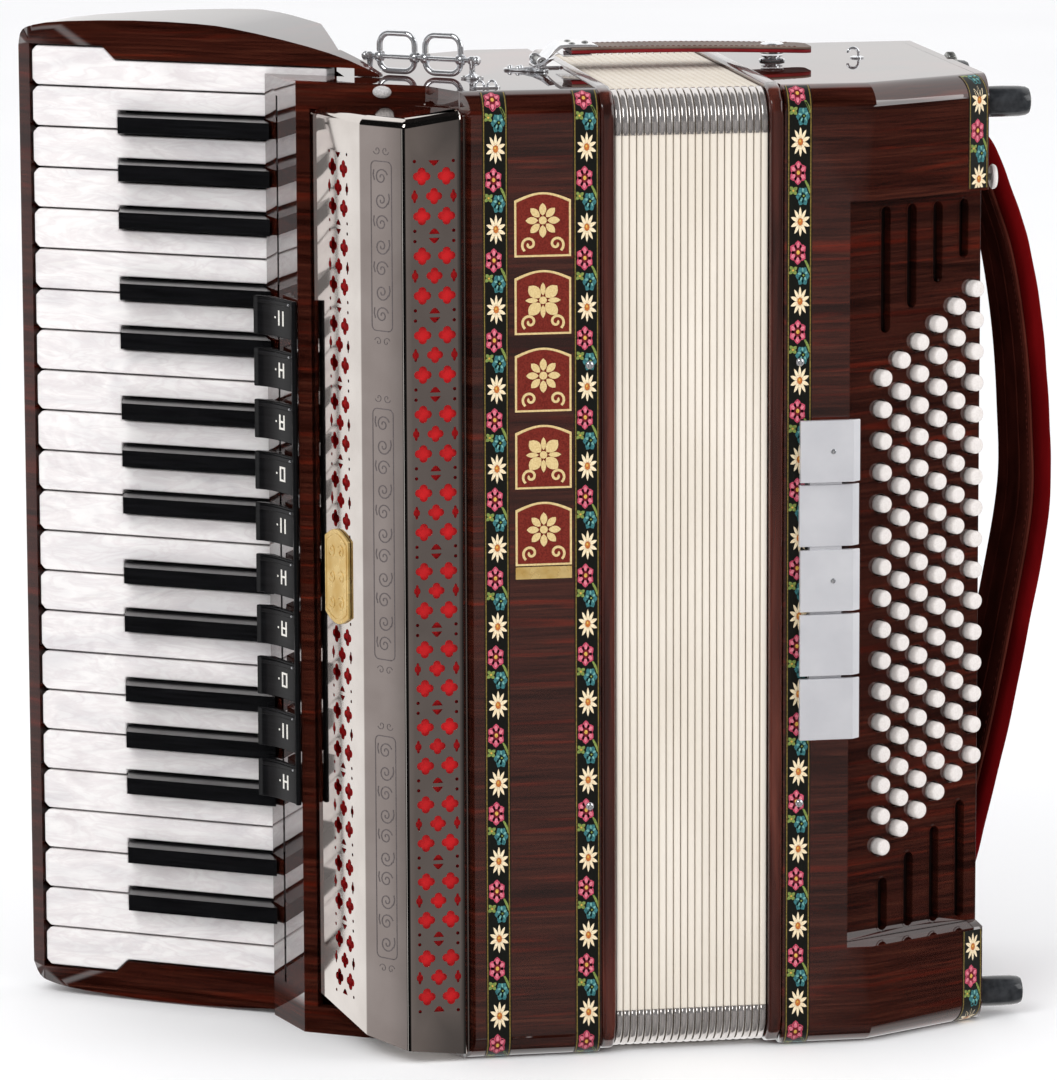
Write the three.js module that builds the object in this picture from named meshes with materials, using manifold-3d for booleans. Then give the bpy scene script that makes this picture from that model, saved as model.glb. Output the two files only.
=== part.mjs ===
// A piano accordion: treble side with keyboard and grille, bellows, and bass side with buttons.
// Millimetres. It stands on its cabinets, +Z up, the front faces -Y and the keyboard is at -X.
import * as THREE from 'three';
import { mergeVertices } from 'three/addons/utils/BufferGeometryUtils.js';
import Module from 'manifold-3d';

const wasm = await Module();
wasm.setup();

// Clearances that all the pieces share
const SEAT_GAP = 0.3;
const RUNNING_GAP = 0.4;
const OVERRUN = 5;
const WELD = 0.5;

// Treble cabinet; x is measured from the left edge of its front panel, y back from the front
const CABINET_HEIGHT = 464;
const BODY_DEPTH = 200;
const CABINET_WALL = 6;
const CABINET_END_WALL = 8;
const PANEL_WIDTH = 56.5;
const CORNER_POST = 4.5;
const BACK_PANEL_WIDTH = 29.5;
const BACK_CORNER_CUT = 48;
const FRAME_BEND_X = 20;
const FRAME_BEND_SHARE = 0.3393;
const FRAME_POST = 7;
const FRAME_RAIL = 13;

// Keyboard: its playing surface is an upright plane that turns away from the front
const KEY_TILT = THREE.MathUtils.degToRad(32.2);
const KEYS_ROOT_X = -87.9;
const KEYS_ROOT_BACKSET = 88;
const KEYS_LOW = 13.7;
const KEY_PITCH = 20;
const WHITE_COUNT = 23;
const KEY_GAP = 0.9;
const WHITE_LENGTH = 123.4;
const WHITE_THICKNESS = 10;
const WHITE_CORNER = 2.5;
const BLACK_LENGTH = 76.5;
const BLACK_WIDTH = 10.3;
const BLACK_TOP_WIDTH = 8;
const BLACK_RISE = 9;
const BLACK_NOSE_SLOPE = 3.5;
const BLACK_ROOT_SET = 1;
const BLACK_ROOT_SLOPE = 8.6;
const THREE_GROUP_SHIFT = 3.2;
const PAIR_SHIFT = 2;
const KEY_TAIL = 34;
const AXLE_BACKSET = 26;
const AXLE_DEPTH = 6;
const AXLE_RADIUS = 1.6;
const AXLE_BORE_DEPTH = 4;

// Keyboard bed with its two cheeks and its outer rail
const POCKET_DEPTH = 18;
const POCKET_GAP = 0.8;
const RAIL_WIDTH = 7;
const RAIL_SETBACK = 1.5;
const CHEEK_PROUD = 1;
const CHEEK_OVERLAP = 6;
const NOTCH_OUTER = 84.6;
const NOTCH_INNER = 78.3;
const BED_REACH = 44;
const CHEEK_TAIL = 18;
const CHEEK_TAIL_DEPTH = 14;
const CHEEK_TAIL_TIP = 3;
const BED_BACK_GAP = 2;
const BED_BACK_CUT_X = 27;
const BED_BACK_CUT_Y = 34;
const ARCH_RISE = 13.3;
const ARCH_DROP = 12.9;
const ARCH_STEPS = 20;

// Wall between the keys and the grille, with the register tabs on it
const WALL_FOOT_SET = 2.2;
const WALL_FOOT_RISE = 1.6;
const WALL_TOP_SET = 30;
const WALL_TOP_RISE = 27.2;
const TAB_COUNT = 10;
const TAB_PITCH = 25.2;
const TAB_HEIGHT = 18.8;
const TAB_FIRST_DROP = 115;
const TAB_ROD_SET = 28.6;
const TAB_ROD_RISE = 28.6;
const TAB_ROD_RADIUS = 1.5;
const TAB_TIP_SET = 0.6;
const TAB_TIP_RISE = 14.6;
const TAB_TIP_THICKNESS = 2.6;
const TAB_ROOT_GAP = 1.8;
const TAB_TIP_GAP = 4;

// Grille pan in front of the frame
const GRILLE_RIGHT = 6.2;
const GRILLE_FOLD_RIGHT = 36.5;
const GRILLE_FOLD_LEFT = 54;
const GRILLE_LEFT = 66;
const GRILLE_FRONT_SET = 1.2;
const GRILLE_LEFT_FOLD_SHARE = 0.5526;
const GRILLE_FRAME_GAP = 0.5;
const GRILLE_SHEET = 1.5;
const GRILLE_TOP_MARGIN = 7;
const GRILLE_TOP_DROP = 4.5;
const GRILLE_BOTTOM_MARGIN = 3.5;
const GRILLE_BOTTOM_RISE = 17.5;
const HOLE_ROWS = 21;
const HOLE_PITCH_SHARE = 0.04235;
const HOLE_SIZE = 8;
const HOLE_COLUMN_GAP = 12;
const HOLE_TOP_MARGIN = 38.3;
const CLOTH_SET = 1;
const CLOTH_THICKNESS = 0.8;

// Treble reed blocks on their sounding board
const SOUNDBOARD_X = 24;
const SOUNDBOARD_THICKNESS = 5;
const SOUNDBOARD_MARGIN = 22;
const REED_BLOCK_COUNT = 4;
const REED_BLOCK_WIDTH = 14;
const REED_BLOCK_HEIGHT = 25;
const REED_BLOCK_MARGIN = 22;

// Bellows and the two frames that hold it
const FRAME_WIDTH = 6.8;
const FRAME_PROUD = 1;
const FRAME_LIFT = 0.4;
const FRAME_RADIUS = 15;
const FRAME_BORE_MARGIN = 20;
const FOLD_COUNT = 21;
const FOLD_PITCH = 3.5;
const FOLD_VALLEY = 3;
const FOLD_CREST = 2.2;
const BELLOWS_INSET = 1.5;
const BELLOWS_RADIUS = 16;
const BELLOWS_WALL = 24;
const CORNER_STEPS = 3;

// Bass cabinet; its front is flat, then turns back in a chamfer
const BASS_WIDTH = 106.2;
const BASS_FLAT_SHARE = 0.4162;
const BASS_CHAMFER_DEPTH = 31.9;
const END_PLATE_THICKNESS = 5;
const RECESS_START_SHARE = 0.2985;
const RECESS_STEP = 11;
const RECESS_LOW = 48;
const RECESS_TOP_DROP = 55;
const BOARD_SLOPE_SHARE = 0.9396;
const BOARD_THICKNESS = 5;
const SLOT_COUNT = 4;
const SLOT_WIDTH = 5.5;
const SLOT_CORNER_STEPS = 2;
const SLOT_FIRST_SHARE = 0.2949;
const SLOT_PITCH_SHARE = 0.1922;
const SLOT_STAGGER_SHARE = 0.0299;
const SLOT_END_MARGIN = 5;
const UPPER_SLOT_SHARE = 0.1704;
const LOWER_SLOT_SHARE = 0.0734;

// Bass buttons, one leaning column beside the next, spread over the board
const BUTTON_COLUMNS = 6;
const BUTTON_ROWS = 16;
const BUTTON_FIRST_SHARE = 0.203;
const BUTTON_COLUMN_SHARE = 0.1357;
const BUTTON_ROW_SHARE = 0.04226;
const BUTTON_RISE_SHARE = 0.5034;
const BUTTON_TOP_SHARE = 0.2404;
const BUTTON_RADIUS = 4.8;
const BUTTON_PROUD = 8;
const BUTTON_NECK = 3.5;
const BUTTON_DOME = 1.6;
const BUTTON_SIDES = 8;
const RIB_WIDTH = 2.4;
const RIB_SUNK = 1;
const CARRIER_THICKNESS = 2;
const CARRIER_DROP = 7;

// Bass register tabs
const BASS_TAB_COUNT = 5;
const BASS_TAB_PITCH = 31.1;
const BASS_TAB_HEIGHT = 29.6;
const BASS_TAB_FIRST_DROP = 173;
const BASS_TAB_START_SHARE = 0.0631;
const BASS_TAB_WIDTH_SHARE = 0.2401;
const BASS_TAB_BEVEL = 4;
const BASS_TAB_PROUD = 7;
const BASS_TAB_THICKNESS = 3;
const BASS_TAB_PRESSED = 2;
const BASS_TAB_PRESSED_ROW = 1;
const BASS_TAB_BAR_INSET = 5;
const BASS_TAB_BAR_DEPTH = 11;

// Fittings on the bass end plate
const FOOT_RADIUS = 7.5;
const FOOT_LENGTH = 22.5;
const FOOT_SIDES = 12;
const FOOT_LOW = 12;
const FOOT_TOP_DROP = 14.2;
const FOOT_FRONT_Y = 45;
const FOOT_BACK_MARGIN = 30;
const FOOT_STEM_RADIUS = 3;
const FOOT_BAR = 6;
const FOOT_BAR_THICKNESS = 2;
const AIR_BUTTON_Y = 42;
const AIR_BUTTON_DROP = 50;
const AIR_BUTTON_RADIUS = 6;
const AIR_BUTTON_HEAD = 3;
const AIR_BUTTON_TRAVEL = 3;
const AIR_STEM_RADIUS = 2;
const WHEEL_RADIUS = 9;
const WHEEL_WIDTH = 5;
const WHEEL_TEETH = 16;
const WHEEL_BACK_MARGIN = 75;
const WHEEL_RISE = 2;
const WHEEL_SHAFT_RADIUS = 2.5;
const COLLAR_WIDTH = 2;
const COLLAR_RISE = 1;

// Hand strap on the bass end
const HAND_STRAP_WIDTH = 75;
const HAND_STRAP_THICKNESS = 13;
const HAND_STRAP_FRONT_Y = 75;
const HAND_STRAP_TOP_DROP = 30;
const HAND_STRAP_BOTTOM = 57;
const HAND_STRAP_BULGE = 39;
const HAND_STRAP_SOFTNESS = 1;
const HAND_STRAP_STEPS = 26;

// Strap that holds the bellows shut
const TIE_START = 46;
const TIE_END = 183;
const TIE_FRONT_Y = 105;
const TIE_WIDTH = 25;
const TIE_THICKNESS = 3;
const TIE_ARCH = 1;
const TIE_STEPS = 12;
const TIE_LEFT_LIFT = 6.4;
const TIE_RIGHT_LIFT = 4.4;
const TIE_STUD = 9;
const TIE_LEFT_STUD = 1;
const TIE_RIGHT_STUD = 112.5;

// Bracket for the shoulder strap, with two loops on one rod
const BRACKET_X = -40;
const BRACKET_SET = 10;
const BRACKET_TURN = THREE.MathUtils.degToRad(-38);
const ROD_LENGTH = 63;
const ROD_RADIUS = 1.5;
const ROD_RISE = 8.6;
const POST_SIZE = 4.5;
const POST_INSET = 2.5;
const LOOP_WIDTH = 22;
const LOOP_WIRE = 3;
const LOOP_CORNER = 5;
const LOOP_UP = 12.7;
const LOOP_DOWN = 8.2;
const LOOP_FIRST = 18.5;
const LOOP_SPACING = 25;
const LOOP_BOSS_RADIUS = 3;

// Curves, each written as shares of the sizes they follow
const archTopShares = [
  [0, -0.1], [0.008, 0.4], [0.036, 0.66], [0.12, 0.87], [0.32, 1], [0.51, 0.96],
  [0.62, 0.8], [0.78, 0.38], [0.907, -0.09], [1, -0.62],
];
const archBottomShares = [
  [0, -0.1], [0.02, 0.4], [0.057, 0.64], [0.135, 0.83], [0.33, 0.99], [0.53, 0.98],
  [0.756, 0.81], [1, 0.66],
];
const grilleBottomShares = [[0, 1], [0.083, 0.62], [0.215, 0.37], [0.36, 0.23], [0.51, 0.17], [1, 0]];
const handStrapShares = [
  [0, 0], [0.035, 0.28], [0.1, 0.53], [0.17, 0.74], [0.28, 0.91], [0.39, 0.99],
  [0.5, 1], [0.65, 0.76], [0.8, 0.47], [0.93, 0.17], [1, 0],
];
const strapSectionShares = [
  [-1, 0], [-0.86, 1], [-0.3, 1.25], [0.3, 1.25], [0.86, 1], [1, 0], [0.86, -1], [-0.86, -1],
];

const finishes = {
  rosewood: { color: 0x4a1d14, roughness: 0.16, metalness: 0 },
  blackMetal: { color: 0x57504e, roughness: 0.2, metalness: 0.9 },
  redCloth: { color: 0xb01018, roughness: 0.9, metalness: 0 },
  pearl: { color: 0xf2efec, roughness: 0.2, metalness: 0 },
  ebony: { color: 0x101214, roughness: 0.15, metalness: 0 },
  chrome: { color: 0xd4d5d8, roughness: 0.1, metalness: 1 },
  steel: { color: 0xa8a8a6, roughness: 0.35, metalness: 0.9 },
  spruce: { color: 0xc9a26b, roughness: 0.6, metalness: 0 },
  bellowsCloth: { color: 0xf1eadb, roughness: 0.75, metalness: 0 },
  darkWood: { color: 0x3a1712, roughness: 0.25, metalness: 0 },
  rubber: { color: 0x16181a, roughness: 0.55, metalness: 0 },
  velvet: { color: 0x7d0a10, roughness: 0.9, metalness: 0 },
  leather: { color: 0x5a1d1a, roughness: 0.6, metalness: 0 },
};

// Places that follow from the sizes above
const KEYS_ROOT_Y = BODY_DEPTH - KEYS_ROOT_BACKSET;
const FRAME_BEND_Y = KEYS_ROOT_Y * FRAME_BEND_SHARE;
const KEYS_HIGH = KEYS_LOW + WHITE_COUNT * KEY_PITCH;
const TAB_FIRST_Z = CABINET_HEIGHT - TAB_FIRST_DROP;
const HOLE_PITCH = CABINET_HEIGHT * HOLE_PITCH_SHARE;
const UNIT_FRONT = keyPoint(-BED_REACH, WALL_FOOT_RISE);
const TREBLE_FRAME_X = PANEL_WIDTH + SEAT_GAP;
const BELLOWS_X = TREBLE_FRAME_X + FRAME_WIDTH + SEAT_GAP;
const BELLOWS_LENGTH = FOLD_COUNT * FOLD_PITCH;
const BASS_FRAME_X = BELLOWS_X + BELLOWS_LENGTH + SEAT_GAP;
const BASS_X = BASS_FRAME_X + FRAME_WIDTH + SEAT_GAP;
const END_X = BASS_X + BASS_WIDTH;
const PLATE_INNER_X = END_X - END_PLATE_THICKNESS;
const BASS_FLAT = BASS_WIDTH * BASS_FLAT_SHARE;
const RECESS_X = BASS_X + BASS_WIDTH * RECESS_START_SHARE;
const RECESS_HIGH = CABINET_HEIGHT - RECESS_TOP_DROP;
const RECESS_HEIGHT = RECESS_HIGH - RECESS_LOW;
const BOARD_TURN = Math.atan2(BASS_CHAMFER_DEPTH * BOARD_SLOPE_SHARE, BASS_WIDTH - BASS_FLAT);
const BOARD_LENGTH = (END_X - RECESS_X) / Math.cos(BOARD_TURN);
const BUTTON_ROW_PITCH = RECESS_HEIGHT * BUTTON_ROW_SHARE;
const BUTTON_COLUMN_RISE = BUTTON_ROW_PITCH * BUTTON_RISE_SHARE;
const BASS_TAB_LEFT = BASS_X + BASS_WIDTH * BASS_TAB_START_SHARE;
const BASS_TAB_WIDTH = BASS_WIDTH * BASS_TAB_WIDTH_SHARE;
const BASS_TAB_FIRST_Z = CABINET_HEIGHT - BASS_TAB_FIRST_DROP;
const AIR_BUTTON_Z = CABINET_HEIGHT - AIR_BUTTON_DROP;
const FOOT_BACK_Y = BODY_DEPTH - FOOT_BACK_MARGIN;
const WHEEL_Y = BODY_DEPTH - WHEEL_BACK_MARGIN;
const HAND_STRAP_TOP = CABINET_HEIGHT - HAND_STRAP_TOP_DROP;

// A point of the plan view, given along the keys and out of their surface
function keyPoint(along, out) {
  const x = KEYS_ROOT_X - along * Math.cos(KEY_TILT) - out * Math.sin(KEY_TILT);
  const y = KEYS_ROOT_Y + along * Math.sin(KEY_TILT) - out * Math.cos(KEY_TILT);
  return [x, y];
}

// How far along the keys a point lies that has this x and this height out of their surface
function alongAt(x, out) {
  return (KEYS_ROOT_X - x - out * Math.sin(KEY_TILT)) / Math.cos(KEY_TILT);
}

// Frame for an outline drawn along the keys and up, extruded behind the key surface
function keyFrame(out) {
  const along = new THREE.Vector3(-Math.cos(KEY_TILT), Math.sin(KEY_TILT), 0);
  const up = new THREE.Vector3(0, 0, 1);
  const back = new THREE.Vector3(Math.sin(KEY_TILT), Math.cos(KEY_TILT), 0);
  const [x, y] = keyPoint(0, out);
  return new THREE.Matrix4().makeBasis(along, up, back).setPosition(x, y, 0);
}

// Frame of the button board: along it, up it, and out of it
function boardFrame(out) {
  const along = new THREE.Vector3(Math.cos(BOARD_TURN), Math.sin(BOARD_TURN), 0);
  const up = new THREE.Vector3(0, 0, 1);
  const outward = new THREE.Vector3(Math.sin(BOARD_TURN), -Math.cos(BOARD_TURN), 0);
  const place = new THREE.Vector3(RECESS_X, RECESS_STEP, 0).addScaledVector(outward, out);
  return new THREE.Matrix4().makeBasis(along, up, outward).setPosition(place);
}

// Frame for an outline drawn along y and up, extruded along x
function sideFrame(x) {
  const basis = new THREE.Matrix4();
  basis.makeBasis(new THREE.Vector3(0, 1, 0), new THREE.Vector3(0, 0, 1), new THREE.Vector3(1, 0, 0));
  return basis.setPosition(x, 0, 0);
}

// Frame for an outline drawn along x and up, extruded towards the front from y
function frontFrame(y) {
  const basis = new THREE.Matrix4();
  basis.makeBasis(new THREE.Vector3(1, 0, 0), new THREE.Vector3(0, 0, 1), new THREE.Vector3(0, -1, 0));
  return basis.setPosition(0, y, 0);
}

// A copy of a geometry that keeps only positions, with shared corners merged
function bareGeometry(geometry) {
  const bare = geometry.clone();
  bare.deleteAttribute('normal');
  bare.deleteAttribute('uv');
  return mergeVertices(bare);
}

// A closed three.js geometry as a solid that can be joined and cut
function solidOf(geometry) {
  const merged = bareGeometry(geometry);
  const vertProperties = Float32Array.from(merged.attributes.position.array);
  const triVerts = Uint32Array.from(merged.index.array);
  return new wasm.Manifold(new wasm.Mesh({ numProp: 3, vertProperties, triVerts }));
}

function geometryOf(solid) {
  const mesh = solid.getMesh();
  const geometry = new THREE.BufferGeometry();
  geometry.setAttribute('position', new THREE.BufferAttribute(Float32Array.from(mesh.vertProperties), 3));
  geometry.setIndex(Array.from(mesh.triVerts));
  geometry.computeVertexNormals();
  return geometry;
}

function joined(...solids) {
  return solids.reduce((whole, next) => whole.add(next));
}

// An outline extruded by depth, then placed by a frame
function extruded(points, depth, frame) {
  const shape = new THREE.Shape(points.map(([x, y]) => new THREE.Vector2(x, y)));
  const geometry = new THREE.ExtrudeGeometry(shape, { depth, bevelEnabled: false, steps: 1 });
  if (frame) geometry.applyMatrix4(frame);
  return solidOf(geometry);
}

// A plan outline raised from low to high
function upright(points, low, high) {
  return extruded(points, high - low, new THREE.Matrix4().makeTranslation(0, 0, low));
}

function rectangle(left, low, right, high) {
  return [[left, low], [right, low], [right, high], [left, high]];
}

// An outline moved inwards by a wall, edge by edge; the outline turns anticlockwise
function inset(points, wall) {
  return points.map((point, i) => {
    const before = points[(i + points.length - 1) % points.length];
    const after = points[(i + 1) % points.length];
    const a = new THREE.Vector2(point[0] - before[0], point[1] - before[1]).normalize();
    const b = new THREE.Vector2(after[0] - point[0], after[1] - point[1]).normalize();
    const reach = wall / (1 + a.dot(b));
    return [point[0] - (a.y + b.y) * reach, point[1] + (a.x + b.x) * reach];
  });
}

// A rectangle with round corners, each in a few steps
function roundedRectangle(left, low, right, high, radius, steps) {
  const corners = [[right - radius, low + radius, -1], [right - radius, high - radius, 0],
    [left + radius, high - radius, 1], [left + radius, low + radius, 2]];
  return corners.flatMap(([x, y, quarter]) => Array.from({ length: steps + 1 }, (_, i) => {
    const angle = (quarter + i / steps) * Math.PI / 2;
    return [x + radius * Math.cos(angle), y + radius * Math.sin(angle)];
  }));
}

// Closed skin over rings of points, with a flat fan on each end
function loft(rings, hollow) {
  const count = rings[0].length;
  const positions = rings.flat(2);
  const faces = [];
  const spans = hollow ? rings.length : rings.length - 1;
  for (let r = 0; r < spans; r++) {
    const next = (r + 1) % rings.length;
    for (let i = 0; i < count; i++) {
      const j = (i + 1) % count;
      faces.push(r * count + i, r * count + j, next * count + j);
      faces.push(r * count + i, next * count + j, next * count + i);
    }
  }
  if (!hollow) {
    const last = (rings.length - 1) * count;
    for (let i = 1; i < count - 1; i++) {
      faces.push(0, i + 1, i);
      faces.push(last, last + i, last + i + 1);
    }
  }
  const geometry = new THREE.BufferGeometry();
  geometry.setAttribute('position', new THREE.Float32BufferAttribute(positions, 3));
  geometry.setIndex(faces);
  return outward(solidOf(geometry), geometry);
}

// Turns the faces round where the rings ran the other way
function outward(solid, geometry) {
  if (solid.volume() > 0) return solid;
  const flipped = geometry.clone();
  const index = Array.from(geometry.index.array);
  for (let i = 0; i < index.length; i += 3) index.splice(i + 1, 2, index[i + 2], index[i + 1]);
  flipped.setIndex(index);
  return solidOf(flipped);
}

function cylinderAlongX(x, y, z, radius, length, sides) {
  const geometry = new THREE.CylinderGeometry(radius, radius, length, sides);
  geometry.rotateZ(-Math.PI / 2).translate(x + length / 2, y, z);
  return solidOf(geometry);
}

function boxBetween(low, high) {
  const geometry = new THREE.BoxGeometry(high[0] - low[0], high[1] - low[1], high[2] - low[2]);
  geometry.translate((low[0] + high[0]) / 2, (low[1] + high[1]) / 2, (low[2] + high[2]) / 2);
  return solidOf(geometry);
}

// Notes repeat every seven white keys; a black key lies below most of them, with its shift
const octave = [null, THREE_GROUP_SHIFT, 0, -THREE_GROUP_SHIFT, null, PAIR_SHIFT, -PAIR_SHIFT];

function blackCentre(border) {
  if (border < 1 || border >= WHITE_COUNT) return null;
  const shift = octave[(border - 1) % octave.length];
  return shift === null ? null : KEYS_HIGH - border * KEY_PITCH + shift;
}

// Outline of one white key along and up, with the notches for its black neighbours
function whiteOutline(number) {
  const high = KEYS_HIGH - number * KEY_PITCH - KEY_GAP / 2;
  const low = high - KEY_PITCH + KEY_GAP;
  const step = BLACK_LENGTH + KEY_GAP;
  const clear = BLACK_WIDTH / 2 + KEY_GAP;
  const points = [];
  const below = blackCentre(number + 1);
  const above = blackCentre(number);
  if (number === WHITE_COUNT - 1) {
    const tailLow = KEYS_LOW + CHEEK_OVERLAP + KEY_GAP / 2;
    points.push([-KEY_TAIL, tailLow], [NOTCH_INNER, tailLow], [NOTCH_OUTER, low]);
  } else if (below === null) points.push([-KEY_TAIL, low]);
  else points.push([-KEY_TAIL, below + clear], [step, below + clear], [step, low]);
  points.push([WHITE_LENGTH - WHITE_CORNER, low], [WHITE_LENGTH, low + WHITE_CORNER]);
  points.push([WHITE_LENGTH, high - WHITE_CORNER], [WHITE_LENGTH - WHITE_CORNER, high]);
  if (number === 0) {
    const tailHigh = KEYS_HIGH - CHEEK_OVERLAP - KEY_GAP / 2;
    points.push([NOTCH_OUTER, high], [NOTCH_INNER, tailHigh], [-KEY_TAIL, tailHigh]);
  } else if (above === null) points.push([-KEY_TAIL, high]);
  else points.push([step, high], [step, above - clear], [-KEY_TAIL, above - clear]);
  return points;
}

// The groove in each key's back that sits over the axle
function axleGroove(low, high) {
  const half = AXLE_RADIUS + RUNNING_GAP;
  const bottom = -AXLE_DEPTH + half;
  const depth = WHITE_THICKNESS + bottom + OVERRUN;
  const outline = rectangle(-AXLE_BACKSET - half, low - OVERRUN, -AXLE_BACKSET + half, high + OVERRUN);
  return extruded(outline, depth, keyFrame(bottom));
}

function whiteKey(number) {
  const outline = whiteOutline(number);
  const heights = outline.map(([, z]) => z);
  const groove = axleGroove(Math.min(...heights), Math.max(...heights));
  return extruded(outline, WHITE_THICKNESS, keyFrame(0)).subtract(groove);
}

function blackKey(centre) {
  const low = centre - BLACK_WIDTH / 2;
  const high = centre + BLACK_WIDTH / 2;
  const topLow = centre - BLACK_TOP_WIDTH / 2;
  const topHigh = centre + BLACK_TOP_WIDTH / 2;
  const foot = extruded(rectangle(-KEY_TAIL, low, BLACK_LENGTH, high), WHITE_THICKNESS, keyFrame(0));
  const ring = ([left, bottom], [right, top], out) => rectangle(left, bottom, right, top)
    .map(([along, z]) => [...keyPoint(along, out), z]);
  const base = ring([BLACK_ROOT_SET, low], [BLACK_LENGTH, high], -WELD);
  const crestStart = BLACK_ROOT_SET - BLACK_ROOT_SLOPE;
  const crest = ring([crestStart, topLow], [BLACK_LENGTH - BLACK_NOSE_SLOPE, topHigh], BLACK_RISE);
  return joined(foot, loft([base, crest])).subtract(axleGroove(low, high));
}

function keyAxle() {
  const [x, y] = keyPoint(-AXLE_BACKSET, -AXLE_DEPTH);
  const low = KEYS_LOW + CHEEK_OVERLAP - AXLE_BORE_DEPTH;
  const high = KEYS_HIGH - CHEEK_OVERLAP + AXLE_BORE_DEPTH;
  const geometry = new THREE.CylinderGeometry(AXLE_RADIUS, AXLE_RADIUS, high - low, BUTTON_SIDES);
  geometry.rotateX(Math.PI / 2).translate(x, y, (low + high) / 2);
  return solidOf(geometry);
}

// Outline of the bed along and up: an arched cheek above and a flatter one below
function bedElevation() {
  const outer = WHITE_LENGTH + POCKET_GAP + RAIL_WIDTH;
  const length = outer + BED_REACH + CHEEK_TAIL;
  const place = (shares, level, rise) => shares
    .map(([run, lift]) => new THREE.Vector2(outer - run * length, level + lift * rise));
  const top = new THREE.SplineCurve(place(archTopShares, KEYS_HIGH, ARCH_RISE)).getPoints(ARCH_STEPS);
  const bottom = new THREE.SplineCurve(place(archBottomShares, KEYS_LOW, -ARCH_DROP)).getPoints(ARCH_STEPS);
  return [...top, ...bottom.reverse()].map((point) => [point.x, point.y]);
}

function bedPlan() {
  const outer = keyPoint(WHITE_LENGTH + POCKET_GAP + RAIL_WIDTH, -RAIL_SETBACK);
  const back = BODY_DEPTH - BED_BACK_GAP;
  const seam = UNIT_FRONT[0] - SEAT_GAP;
  const front = keyPoint(alongAt(seam, CHEEK_PROUD), CHEEK_PROUD);
  const turn = keyPoint(WHITE_LENGTH + POCKET_GAP, CHEEK_PROUD);
  const corner = [seam, back - BED_BACK_CUT_Y];
  return [outer, turn, front, corner, [seam - BED_BACK_CUT_X, back], [outer[0], back]];
}

// The room for the keys, narrower where the cheeks reach over the end keys
function pocketOutline() {
  const low = KEYS_LOW - POCKET_GAP / 2;
  const high = KEYS_HIGH + POCKET_GAP / 2;
  const inner = -BED_REACH - OVERRUN;
  return [
    [inner, low + CHEEK_OVERLAP], [NOTCH_INNER, low + CHEEK_OVERLAP], [NOTCH_OUTER, low],
    [WHITE_LENGTH + POCKET_GAP, low], [WHITE_LENGTH + POCKET_GAP, high],
    [NOTCH_OUTER, high], [NOTCH_INNER, high - CHEEK_OVERLAP], [inner, high - CHEEK_OVERLAP],
  ];
}

function keyboardBed() {
  const reach = BODY_DEPTH + OVERRUN;
  const elevation = extruded(bedElevation(), reach, keyFrame(OVERRUN));
  const top = KEYS_HIGH + ARCH_RISE + OVERRUN;
  const tailStart = -BED_REACH + CHEEK_TAIL / 2;
  const tailEnd = -BED_REACH - CHEEK_TAIL;
  const tail = [keyPoint(tailStart, CHEEK_PROUD), keyPoint(tailEnd, CHEEK_PROUD),
    keyPoint(tailEnd, -CHEEK_TAIL_TIP), keyPoint(tailStart, -CHEEK_TAIL_DEPTH)];
  const tailLow = CABINET_HEIGHT + SEAT_GAP;
  const plan = joined(upright(bedPlan(), -OVERRUN, top), upright(tail, tailLow, top));
  const pocketFrame = keyFrame(CHEEK_PROUD + OVERRUN);
  const pocket = extruded(pocketOutline(), POCKET_DEPTH + CHEEK_PROUD + OVERRUN, pocketFrame);
  const [x, y] = keyPoint(-AXLE_BACKSET, -AXLE_DEPTH);
  const bore = AXLE_RADIUS + SEAT_GAP;
  const low = KEYS_LOW + CHEEK_OVERLAP - AXLE_BORE_DEPTH - SEAT_GAP;
  const high = KEYS_HIGH - CHEEK_OVERLAP + AXLE_BORE_DEPTH + SEAT_GAP;
  const hole = boxBetween([x - bore, y - bore, low], [x + bore, y + bore, high]);
  return plan.intersect(elevation).subtract(pocket).subtract(hole);
}

// Plan of the treble cabinet, from the front panel round the back to the frame of the grille
function treblePlan() {
  const wallFoot = keyPoint(-WALL_FOOT_SET, WALL_FOOT_RISE);
  const post = keyPoint(-WALL_TOP_SET, WALL_TOP_RISE);
  return [
    [-CORNER_POST, 0], [PANEL_WIDTH, 0], [PANEL_WIDTH, BODY_DEPTH],
    [PANEL_WIDTH - BACK_PANEL_WIDTH, BODY_DEPTH], [UNIT_FRONT[0], BODY_DEPTH - BACK_CORNER_CUT],
    UNIT_FRONT, wallFoot, post, [-FRAME_BEND_X, FRAME_BEND_Y],
  ];
}

// The window in the frame: a strip along the outline's last two sides
function windowPlan() {
  const post = keyPoint(-WALL_TOP_SET, WALL_TOP_RISE);
  const towards = new THREE.Vector2(-FRAME_BEND_X - post[0], FRAME_BEND_Y - post[1]).normalize();
  const left = [post[0] + towards.x * FRAME_POST, post[1] + towards.y * FRAME_POST];
  const across = [-towards.y, towards.x];
  const deep = CABINET_WALL + WELD;
  const cornerX = -CORNER_POST - WELD;
  return [
    [left[0] - across[0] * OVERRUN, left[1] - across[1] * OVERRUN],
    [-FRAME_BEND_X - OVERRUN, FRAME_BEND_Y - FRAME_BEND_X],
    [cornerX - CABINET_WALL / 2, -OVERRUN],
    [cornerX - CABINET_WALL / 2, deep],
    [-FRAME_BEND_X + deep, FRAME_BEND_Y + deep],
    [left[0] + across[0] * deep, left[1] + across[1] * deep],
  ];
}

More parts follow.
